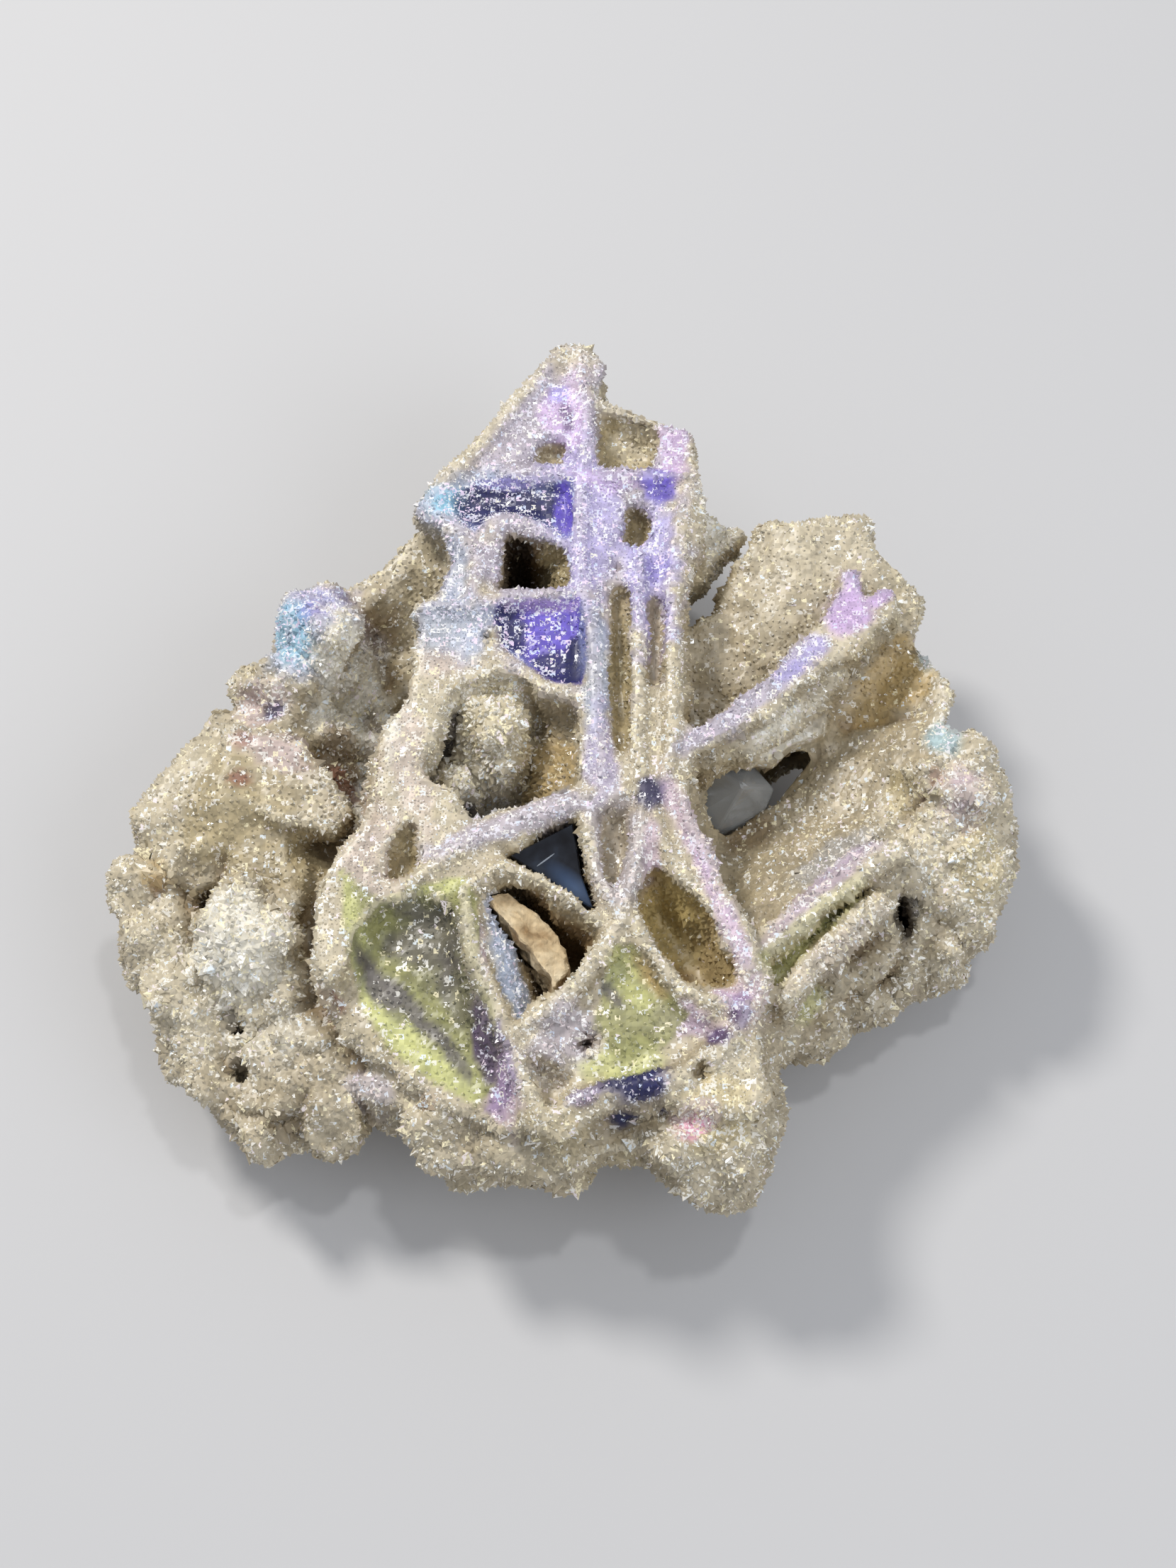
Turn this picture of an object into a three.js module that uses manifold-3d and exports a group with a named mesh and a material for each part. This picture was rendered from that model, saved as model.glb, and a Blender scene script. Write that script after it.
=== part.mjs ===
// An iridescent quartz-druse boxwork with dark sphalerite left in it: a palm-sized slab whose upper
// face is a network of thin ribs round open pockets. Lumpy druse lobes and thin fan plates grow out
// of its sides, and it rests on a flat patch of its underside at z = 0. Millimetres, +Z up.

import * as THREE from "three";
import { ConvexGeometry } from "three/addons/geometries/ConvexGeometry.js";
import { ImprovedNoise } from "three/addons/math/ImprovedNoise.js";
import { mergeVertices } from "three/addons/utils/BufferGeometryUtils.js";
import Module from "manifold-3d";

const wasm = await Module();
wasm.setup();
const perlin = new ImprovedNoise();

// ---- Driving dimensions ----

// The network face: a gentle arch, highest at its middle.
const CREST = 28.6; // height of the rib crests at the middle
const CREST_MIDDLE = 5; // where along Y the crests are highest
const CREST_FALL_Y = 0.0006; // how the crests fall away from there, per square millimetre
const CREST_FALL_X = 0.0012;
const WEB_DROP = 0.8; // the web between the ribs lies this far below the crests
const WEB_THICK = 8; // thickness of the ribbed plate
const RIB_DEPTH = 3.5; // how far the ribs reach down into it
const END_NARROWS = 0.55; // a rib's width at its ends, as a share of its own

// The crust under and round the network.
const SPAN = 108; // the block that the crust is cut from
const SPAN_MIDDLE = [0.5, 2.5];
const CELL = 6; // spacing of the crust's relief
const RELIEF = 1.6; // height of its unevenness
const RELIEF_WAVE = 6;
const UNDERCUT = 0.95; // slope of the underside, from the rim in to the flat patch
const LEAST_THICK = 3;
const WALL_LEVELS = [-1, 11, 18, 40]; // heights at which the rim's wall changes course
const WALL_UNEVEN = 2.2; // how far it may lean in or out between them
const WALL_WAVE = 5;

const LUMP_UNEVEN = 0.5; // how far a lump departs from an ellipsoid, as a share of its size
const LUMP_WAVE = 1.4; // bulges across a lump
const SMALL_LUMP = 5.3; // half width under which a lump has few faces

// The coarse quartz points on the lumps.
const POINT_LUMP = 3.9; // half width over which a lump carries them
const POINT_RINGS = [0.9, 0.6]; // how high up the lump each stands, from its middle to 1
const POINT_RADIUS = 1.15;
const POINT_SLENDER = 2.4; // height of a point in radii
const GOLDEN_ANGLE = Math.PI * (3 - Math.sqrt(5));

const SLOPE_FOOT = 6; // height at which the sloping walls start

const SEAT_GAP = 0.3; // clearance round each crystal that is held in the slab

// ---- Outlines, [x, y], seen from above ----

// The rim of the whole slab, from the foot of the tower anticlockwise.
const RIM = [
  [-11.2, 35], [-14.4, 33.4], [-17.6, 31.2], [-20.2, 28.2], [-22.4, 25.8], [-24.6, 25], [-26.8, 22.8],
  [-29.4, 20.2], [-31.4, 17.4], [-33.2, 14.9], [-35.4, 14.2], [-36.3, 12.8], [-36.2, 10.9], [-34.4, 8.8],
  [-37.4, 9.6], [-39.1, 9.8], [-40.4, 8.2], [-42, 4.7], [-43.4, 1.9], [-45.6, -1.1],
  [-47.1, -4.1], [-45.9, -6.4], [-48.3, -9.8], [-48.7, -11.8], [-48.1, -13.5], [-46.5, -14.5],
  [-45.7, -18.8], [-44.1, -21.5], [-42.1, -24.2], [-39.7, -28], [-39.3, -32.3], [-37.9, -33.8],
  [-35.2, -35.7], [-32.7, -38.8], [-30, -39.9], [-28.4, -37.8], [-24.6, -39.7], [-20.6, -37.8],
  [-22.2, -33], [-18.7, -35.2], [-16.2, -36.6], [-13.1, -40], [-9.6, -41.9], [-3.2, -42.8],
  [-0.2, -43.6], [2.5, -42.6], [4.8, -40.6], [9, -39], [9.7, -41], [12.2, -42.6], [15.1, -43.8],
  [17.8, -44.5], [19.4, -44.1], [20.8, -41.8], [21.4, -39.2], [23.3, -37.2], [23, -32.8], [22.8, -28.4],
  [25.4, -26.8], [27.6, -27.4], [29.2, -26.9], [31.2, -24.4], [34.8, -22.6], [37.4, -21.4], [40, -19],
  [43.8, -17.8], [42.2, -16.2], [44.7, -15.9], [47, -13.9], [47.2, -11.3], [48, -7.3], [48.9, -5],
  [48.9, -2.5], [47.1, 2.5], [44.8, 5.2], [43.1, 4.9], [42.4, 6.9], [42.9, 10.3], [41.3, 13],
  [40.2, 16.4], [39.6, 21.2], [37.4, 25.1], [34.2, 28.8], [33, 31], [30.3, 31.4], [25.5, 30.4],
  [22.8, 30.4], [21.6, 28.8], [20.2, 26.1], [18.7, 23.6], [17.4, 20.6], [15.1, 19.4], [13.3, 16.7],
  [12, 20.6], [13.4, 24.2], [15.8, 26.4], [18.4, 28.4], [20, 30.6], [17.8, 33.8], [13.8, 35.6],
  [13.3, 38.8], [11.8, 40.2], [8.6, 41.4], [4.6, 43.2], [2.2, 44.8], [3, 49.4], [1.8, 51.2], [0.4, 51],
  [-2, 46.6], [-4.2, 43.8], [-5.6, 40.6], [-9.4, 36.8],
];

// The ribbed plate that carries the network, from its peak anticlockwise.
const NETWORK = [
  [0.1, 52.7], [-2.6, 48.8], [-5.1, 44.8], [-6.7, 41.6], [-10.4, 38.1], [-12.5, 34.8],
  [-15.6, 32.2], [-16, 29.8], [-13.4, 27.4], [-12, 23.6], [-13.4, 20], [-16.2, 18], [-15.2, 15.4],
  [-15.8, 11.5], [-16.5, 6.8], [-18.8, 3.2], [-19.9, 1.1], [-20.2, -2.1], [-20.7, -7],
  [-22.3, -9.6], [-24.8, -13.6], [-25.4, -18], [-25, -23], [-22.8, -27.6], [-19.2, -31.6],
  [-14.6, -34.9], [-10.4, -37.6], [-6.4, -39.2], [-3.4, -40.2], [-0.6, -41], [2.3, -39.9],
  [5.6, -37.6], [10.4, -36.8], [14.6, -38.6], [19.4, -38.6], [20.8, -35.4], [20.4, -31.4],
  [20.8, -27.4], [21.8, -24], [20, -20.6], [17.6, -16.2], [15.9, -10],
  [14, -6.6], [13.9, -2], [13.7, 2], [13.6, 10], [13.5, 18], [13.6, 22.4], [15.5, 26],
  [15.6, 31.6], [15, 36], [14.4, 40.9], [12.2, 41.6], [9, 42.9], [5.6, 44.5], [3.6, 45],
  [4.5, 47.4], [4.9, 49.6], [3.9, 51.5], [2.4, 52.8],
];

// ---- Heights, [x, y, height] ----

// The crust's upper side.
const TOPS = [
  // Under the network.
  [0, 46, 21], [6, 38, 21], [-8, 34, 21], [8, 28, 22], [-2, 26, 22], [8, 14, 23], [-4, 13, 23],
  [8, 0, 23], [-8, 0, 22], [-16, -4, 21], [6, -12, 23], [-8, -14, 22], [14, -22, 22], [0, -24, 22],
  [-16, -24, 22], [-12, -31, 22], [-19, -31, 20.5], [6, -34, 22], [-8, -37, 21], [16, -34, 22],
  // The tower's flank and the flake behind it.
  [-15, 27.5, 22], [-17.6, 30, 21.5], [-18, 24.5, 20], [-21, 26, 19.5], [17.5, 30, 19],
  [15.5, 24, 17],
  // The brown valley between the tower and the left lobes.
  [-18.5, 20, 14], [-21, 15, 12], [-19.5, 9, 10.5], [-23, 3, 10.5], [-21.6, -1, 8.5],
  [-22.6, -5, 9.5], [-23.6, -9.5, 17],
  // The upper-left lobe.
  [-27, 18, 22], [-29, 13, 21.5], [-34, 12, 21], [-34.8, 8.4, 18], [-31, 17, 20], [-24, 22.6, 19.5],
  // The left lobe: its upper plate, the hollow beside the ridge, and the coarse lumps below.
  [-38.5, 7, 20.5], [-36, 3, 22], [-30, 3, 23], [-31, -1, 23.5], [-34, -5, 22], [-27, -3, 22.5],
  [-41, -1, 20.5], [-45, -5, 19.5], [-28.5, -7.6, 21.2], [-29, -11, 19], [-26, -12.5, 17.5],
  [-44, -9.5, 17.5],
  [-37.5, -13.4, 16.5], [-46.4, -13, 18], [-38.6, -18.5, 16], [-32, -19, 20.5], [-43.5, -19, 18],
  [-26, -19, 19.5], [-40, -26, 17.5], [-35, -24.5, 17.5], [-28, -28, 18.5], [-36, -33, 16],
  [-30, -38, 15], [-23, -32, 18], [-23, -39, 15],
  // The bottom rim.
  [-15, -36, 19.5], [-8, -41.5, 18.5], [0, -42.5, 19], [6, -39.6, 20],
  // The block at the lower right.
  [12, -39, 23.5], [18, -37, 24.5], [13, -44, 18.5], [18, -46, 17],
  // The fan plate.
  [15, 4, 17], [15.5, 12, 17.5], [17, 18, 20], [20, 24, 22.5], [24, 28, 24], [31, 30, 25],
  [22, 13, 21], [26, 18, 23.5], [30, 25, 25], [36, 25, 24.5], [38.6, 20, 23.5],
  // The brown hollow past the forked rib, and the dark ground under the rib's ledge.
  [31.5, 9, 17.5], [35, 12, 17.5], [38, 15, 19.5], [36, 7, 18], [41.6, 9, 22.5], [28.6, 4, 16],
  [22, 1, 13], [24.5, -1, 15],
  // The right plate.
  [18, -6, 13], [17.6, -12, 18.5], [24, -5, 15.5], [30, 0, 17.5], [33, 4, 17.5], [37, 1.6, 21],
  [41, 0, 25], [45, 2, 23], [47.6, -4, 21], [46, -12, 19.5], [40, -8, 22], [36, -8, 21.5],
  [43.4, -15.6, 18], [27, -12, 24], [22.6, -16.4, 25], [32, -9, 24], [31, -15, 20.5],
  [25, -20.6, 20.5], [22, -24.6, 22.5],
  [35.4, -17, 18],
  // The lumps under the right plate.
  [38, -19.4, 13], [41, -21, 13], [33, -24.4, 12.5], [27, -29, 12], [25.4, -27, 13],
];

// How high the rim of the underside stands over the floor.
const LIFTS = [
  [0, -44, 14], [-14, -38, 13], [-30, -41, 11], [-45, -12, 12], [-38, 6, 13], [-26, 21, 13],
  [0, 50, 17], [16, 38, 15], [-10, 39, 14], [30, 30, 19], [39, 20, 18], [42, 8, 16], [48, -4, 14],
  [42, -20, 8],
  [26, -31, 7], [19, -46, 12], [13, -45, 13], [20, 24, 17],
];

// ---- Shapes ----

// The height of the rib crests over a place on the face.
function crestAt(x, y) {
  return CREST - CREST_FALL_Y * (y - CREST_MIDDLE) ** 2 - CREST_FALL_X * x * x;
}

// A height blended from spots: the nearer a spot, the more it counts.
function blend(spots, x, y) {
  let sum = 0;
  let total = 0;
  for (const [spotX, spotY, height] of spots) {
    const weight = 1 / (Math.hypot(x - spotX, y - spotY) + 0.6) ** 3.5;
    sum += weight * height;
    total += weight;
  }
  return sum / total;
}

// How far a place lies inside an outline, 0 outside it.
function depthInside(outline, x, y) {
  let inside = false;
  let nearest = Infinity;
  outline.forEach(([ax, ay], i) => {
    const [bx, by] = outline[(i + 1) % outline.length];
    if (ay > y !== by > y && x < ax + ((y - ay) / (by - ay)) * (bx - ax)) inside = !inside;
    const along = ((x - ax) * (bx - ax) + (y - ay) * (by - ay)) / ((bx - ax) ** 2 + (by - ay) ** 2);
    const t = THREE.MathUtils.clamp(along, 0, 1);
    nearest = Math.min(nearest, Math.hypot(x - ax - t * (bx - ax), y - ay - t * (by - ay)));
  });
  return inside ? nearest : 0;
}

// A closed geometry as a solid that can be joined and cut.
function solid(geometry) {
  geometry.deleteAttribute("normal");
  geometry.deleteAttribute("uv");
  const merged = mergeVertices(geometry, 1e-4);
  return new wasm.Manifold(
    new wasm.Mesh({
      numProp: 3,
      vertProperties: merged.attributes.position.array,
      triVerts: new Uint32Array(merged.index.array),
    }),
  );
}

// Moves each vertex by a function that returns its new [x, y, z].
function reshape(geometry, move) {
  const place = geometry.attributes.position;
  for (let i = 0; i < place.count; i++) {
    place.setXYZ(i, ...move(place.getX(i), place.getY(i), place.getZ(i)));
  }
  return geometry;
}

// An upright block with the given outline. Its edges are rounded in by edge, over a height of rise.
function block(outline, bottom, top, edge = 0, rise = edge) {
  const shape = new THREE.Shape(outline.map(([x, y]) => new THREE.Vector2(x, y)));
  const geometry = new THREE.ExtrudeGeometry(shape, {
    depth: top - bottom - 2 * rise,
    steps: 1,
    bevelEnabled: edge > 0,
    bevelSize: edge,
    bevelOffset: -edge,
    bevelThickness: rise,
    bevelSegments: 1,
  });
  return geometry.translate(0, 0, bottom + rise);
}

// The outline of a strip along a path of [x, y] points, with narrowed ends.
function strip(path, width) {
  const left = [];
  const right = [];
  path.forEach(([x, y], i) => {
    const own = i > 0 && i < path.length - 1 ? width : width * END_NARROWS;
    const [px, py] = path[Math.max(i - 1, 0)];
    const [nx, ny] = path[Math.min(i + 1, path.length - 1)];
    const long = Math.hypot(nx - px, ny - py);
    const sideX = (-(ny - py) / long) * (own / 2);
    const sideY = ((nx - px) / long) * (own / 2);
    left.push([x + sideX, y + sideY]);
    right.unshift([x - sideX, y - sideY]);
  });
  return left.concat(right);
}

// Lays a geometry whose heights are counted from the rib crests on the arch of the face.
function onFace(geometry) {
  return reshape(geometry, (x, y, z) => [x, y, z + crestAt(x, y)]);
}

// A rib of the network: a strip with rounded edges.
function rib(path, width) {
  const edge = width * 0.27;
  return solid(onFace(block(strip(path, width), -RIB_DEPTH, 0, edge)));
}

// A cutter for a pocket of the network, with its floor rounded in.
function pocket(outline, depth, edge = 0.8, rise = depth * 0.5) {
  return solid(onFace(block(outline, -depth, 6 + rise, edge, rise)));
}

// A cutter for a small pit that narrows downwards.
function pit(x, y, top, depth, radius, sides = 6) {
  const cone = new THREE.CylinderGeometry(radius * 1.15, radius * 0.6, depth + 2, sides);
  return solid(cone.rotateX(Math.PI / 2).translate(x, y, top + 1 - depth / 2));
}

// How far the surface of a lump lies from its middle, in a direction, as a share of its size.
function bulge(a, b, c, seed) {
  const noise = perlin.noise(a * LUMP_WAVE + seed * 3.1, b * LUMP_WAVE, c * LUMP_WAVE + seed);
  return 1 + LUMP_UNEVEN * noise;
}

// A druse lump, made uneven by its own seed. The small ones have fewer faces.
function lump([x, y, z, wide, long, high], seed) {
  const ball = new THREE.IcosahedronGeometry(1, wide > SMALL_LUMP ? 2 : 1);
  return solid(
    reshape(ball, (a, b, c) => {
      const size = bulge(a, b, c, seed);
      return [x + a * size * wide, y + b * size * long, z + c * size * high];
    }),
  );
}

// Six-sided quartz points that stand on the upper side of a lump, spread by the golden angle.
function quartzPoints([x, y, z, wide, long, high], seed) {
  return POINT_RINGS.map((rise, i) => {
    const turn = seed + i * GOLDEN_ANGLE;
    const out = Math.sqrt(1 - rise * rise);
    const [a, b, c] = [out * Math.cos(turn), out * Math.sin(turn), rise];
    const size = bulge(a, b, c, seed) * 0.93;
    const radius = POINT_RADIUS * (1 + 0.3 * Math.sin(5 * turn));
    const cone = new THREE.ConeGeometry(radius, radius * POINT_SLENDER, 6);
    const normal = new THREE.Vector3(a / wide, b / long, c / high).normalize();
    const upright = new THREE.Vector3(0, 1, 0);
    cone.translate(0, radius * POINT_SLENDER * 0.3, 0);
    cone.applyQuaternion(new THREE.Quaternion().setFromUnitVectors(upright, normal));
    return solid(cone.translate(x + a * size * wide, y + b * size * long, z + c * size * high));
  });
}

// A block whose upper side follows a height function.
function ramp(outline, bottom, heightAt) {
  const slab = block(outline, bottom, bottom + 1);
  return solid(reshape(slab, (x, y, z) => [x, y, z > bottom + 0.5 ? heightAt(x, y) : z]));
}

const join = (pieces) => pieces.reduce((whole, piece) => whole.add(piece));

// ---- The crust ----

function topAt(x, y) {
  return blend(TOPS, x, y) + RELIEF * perlin.noise(x / RELIEF_WAVE, y / RELIEF_WAVE, 0.5);
}

function underAt(x, y) {
  return Math.max(0, blend(LIFTS, x, y) - UNDERCUT * depthInside(RIM, x, y));
}

function crust() {
  const cells = Math.round(SPAN / CELL);
  const slab = new THREE.BoxGeometry(SPAN, SPAN, 2, cells, cells, 1);
  slab.translate(SPAN_MIDDLE[0], SPAN_MIDDLE[1], 0);
  reshape(slab, (x, y, z) => {
    const under = underAt(x, y);
    return [x, y, z < 0 ? under : Math.max(topAt(x, y), under + LEAST_THICK)];
  });
  return solid(slab).intersect(rimWall());
}

// The block whose uneven wall gives the crust its rim.
function rimWall() {
  const shape = new THREE.Shape(RIM.map(([x, y]) => new THREE.Vector2(x, y)));
  const steps = WALL_LEVELS.length - 1;
  const wall = new THREE.ExtrudeGeometry(shape, { depth: steps, steps, bevelEnabled: false });
  return solid(
    reshape(wall, (x, y, level) => {
      const z = WALL_LEVELS[Math.round(level)];
      const lean = (axis) => perlin.noise(x / WALL_WAVE + axis, y / WALL_WAVE, z / WALL_WAVE);
      const leanTo = z < 30 ? WALL_UNEVEN : 0;
      return [x + leanTo * lean(0.3), y + leanTo * lean(7.3), z];
    }),
  );
}

// ---- The ribbed plate ----

function plate() {
  const strips = 12;
  const arch = new THREE.BoxGeometry(SPAN, SPAN, 2, 4, strips, 1);
  arch.translate(SPAN_MIDDLE[0], SPAN_MIDDLE[1], 0);
  reshape(arch, (x, y, z) => [x, y, crestAt(x, y) - (z < 0 ? WEB_THICK : WEB_DROP)]);
  return solid(arch).intersect(solid(block(NETWORK, 0, 60)));
}

// Ribs, [path, width].
const RIBS = [
  // The tower: its left rim, the spine with the first column, and the crossbars.
  [[[0.4, 52], [-2.8, 47], [-9.8, 37.4], [-14.8, 30.8], [-11.4, 27], [-8.8, 23.4], [-9.4, 17.4]],
    2.6],
  [[[1.9, 52], [2.8, 45], [3, 39], [2.2, 32], [2.3, 22], [3.4, 16], [4, 6], [4.6, -3.4]], 1.9],
  [[[-8.6, 35.4], [-3, 34.4], [6, 34.2], [14.6, 34.4]], 2.1],
  [[[-16, 17.8], [-11, 17.6], [-4, 18.9], [3.6, 19.5]], 1.7],
  // The other two columns.
  [[[9, 25], [8.6, 18], [8.4, 8], [8.2, 2], [8.8, -2.6]], 1.7],
  [[[14.2, 33], [13, 26], [12.3, 20], [12.1, 10], [11.9, 1], [10.8, -3.4]], 1.9],
  // The diagonal rib across the middle.
  [[[-15.6, -14.4], [-9.4, -9.9], [-2, -6.6], [3.3, -4.8], [9.8, -3.6]], 2.6],
  // Round the triangular pocket under its end.
  [[[3.2, -5.2], [3.1, -9], [3.7, -13.4], [5.6, -16.6], [7.1, -18.6]], 1.5],
  [[[8.8, -4.4], [8.6, -8.6], [7.7, -13.6], [6.6, -17.4]], 1.7],
  // The toothed edge below the pane.
  [[[-9.6, -14.6], [-6.2, -12.7], [-2, -14.1], [0.8, -16.1], [4.2, -18.8]], 1],
  // The double rib down the right.
  [[[9.6, -4.6], [10.7, -10], [13.3, -13.9], [15.7, -17.4], [18.2, -21.4], [19.3, -25.4]], 1.3],
  [[[12.4, -3], [13.4, -7], [16.7, -15.3], [18.9, -19.4], [20.4, -24]], 1.8],
  // Under the oval pocket, and on to the lower node.
  [[[6.4, -16.8], [9.4, -21.8], [12.2, -25.8], [15.4, -27.2], [19.6, -27.4]], 1.6],
  // Left of the flake's pocket, down to the tip, and up again on the right.
  [[[-9.9, -14.6], [-8.8, -21.8], [-5.8, -29.1], [-3.6, -35.2], [-1.2, -39.6]], 1.9],
  [[[-1.4, -39.6], [2.4, -37], [7, -36], [13, -34.8], [17.4, -31.6], [19.6, -27.2]], 1.7],
  // Between the flake's pocket and the lower panel.
  [[[-5.4, -31], [-0.6, -27.7], [2.2, -24.6], [4.8, -21.2], [6.9, -17.6]], 1.8],
];

// ---- What stands on the crust, [outline, bottom, top] ----

const LEDGES = [
  // The forked rib that crosses to the fan plate.
  [[[12.4, -0.4], [17, 2], [22.9, 5.4], [27, 9.6], [30, 12.4], [33.2, 14.6], [36.8, 18], [36.5, 20.3],
    [35.2, 20.9], [33.9, 19.5], [32.7, 19.9], [32.2, 22.7], [30.8, 22.6], [30, 19.6], [28.2, 16.4],
    [25.4, 12.4], [21.2, 8.8], [16.4, 4.6], [12.4, 2.6]], 14, 27.2],
  // The step along its lower edge, and the toothed plate under that.
  [[[15.2, 0.2], [19.4, 2], [23.6, 4.6], [27.8, 8], [31.4, 11.4], [30, 13], [26, 10], [16, 3.4]], 16,
    24.6],
  [[[18.2, 3], [20.7, 2.4], [22.7, 2.3], [23.9, 2.7], [25.2, 4.4], [28.2, 5.2], [29.4, 6.2],
    [29.7, 8.8], [30.2, 11.4], [26, 10.4], [20, 6]], 16.6, 20.4],
  // The pale flat plate of the left lobe, over the valley.
  [[[-37, 6.6], [-31, 5.4], [-27.4, 4.4], [-25.8, 1.6], [-23.6, -1.4], [-22.2, -4.4], [-24.2, -6],
    [-29.6, -5.6], [-36, -2]], 17.5, 22.4],
  // The two crests along the lower edge of the right plate.
  [[[18.6, -21.6], [21.6, -21.6], [28, -16.4], [32.4, -12.6], [36, -9.8], [35.4, -8.6], [32.6, -9.2],
    [27, -13.4], [21, -18.4]], 18, 25.6],
  [[[21, -25.6], [23.6, -26.4], [27, -22.6], [30.4, -19.2], [34.4, -15.6], [33.6, -13.8],
    [29.4, -17], [25.6, -20.6]], 16, 24.2],
];

// Walls that slope down into a hollow, from a height along a line to a height along another.
const SLOPES = [
  // From the middle columns into the central cavity.
  {
    outline: [[-4.8, 9.2], [2.8, 7.6], [3, -3], [-4, -4.8]],
    foot: [-4.8, 14],
    head: [2.6, 27.6],
    turn: 0,
  },
  // Into the deep dark hole.
  {
    outline: [[-3.4, 27], [0.7, 25.6], [1.2, 23.4], [1, 20.2], [-3.2, 19.4]],
    foot: [-3.2, 15],
    head: [1, 27.2],
    turn: 0,
  },
  // From the long left rib down to the flake.
  {
    outline: [[-9, -16], [-8, -16.6], [-6.6, -18], [-5, -19.9], [-3.5, -21.5], [-2.7, -23.2],
      [-1.5, -24.7], [-1, -26.6], [-1.6, -28.4], [-5.2, -30], [-8.4, -22]],
    foot: [-8.5, 20.6],
    head: [-12.9, 27.4],
    turn: 0.3,
  },
];

// Holes right through the slab, [outline, top]: beside the forked rib, and near the right rim.
const GAPS = [
  [[[20.8, 2.4], [23.4, 0.9], [25.6, 3.6], [27.6, 5.8], [29, 7.4], [27.4, 8.6], [23, 7], [21, 5]], 17],
  [[[35.6, -11.4], [37, -11.8], [37.9, -15.6], [36.3, -15.6]], 24],
];

// ---- The pieces held in the slab ----

const PANE = {
  outline: [[-5.1, -11.1], [1.4, -7.5], [1.8, -9.6], [2.3, -13.2], [3.5, -16.8], [3, -16.7],
    [0, -14.6], [-3, -12.6]],
  bottom: -4.8, // from the rib crests
  top: -1.5,
};

const CRYSTAL = {
  middle: [18.8, 1, 13.8],
  points: [
    [-4, 0.8, -4.6], [-1.6, -3.6, -4.6], [3.2, -2.2, -4.6], [4.2, 0.6, -4.6], [1.4, 3.4, -4.6],
    [-3, 2.8, -4.6],
    [-4.5, 0.9, 3], [-3.8, -2.4, 1.2], [-1.6, -4, 0.2], [3.8, -1.6, 0.7], [4.8, 0.6, 1.7],
    [1.7, 3.7, 3.2], [-0.2, 3.5, 4.2],
    [-1.8, 1.4, 4.8], [1.2, -0.6, 5.1],
  ],
};

const FLAKE = {
  outline: [[-7.2, -15.6], [-6.7, -14.7], [-5.5, -14.4], [-4, -15], [-2.4, -16.4], [-0.8, -18.3],
    [0.8, -20.8], [1, -22.8], [0.4, -24.4], [-0.5, -25.8], [-1, -24], [-2.3, -22.6], [-3.1, -20.8],
    [-4.7, -19.1], [-6.3, -17.3]],
  bottom: 13.8,
  edge: 26.2, // height of its left edge
  slope: -0.45, // fall across it, to the right
};

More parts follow.
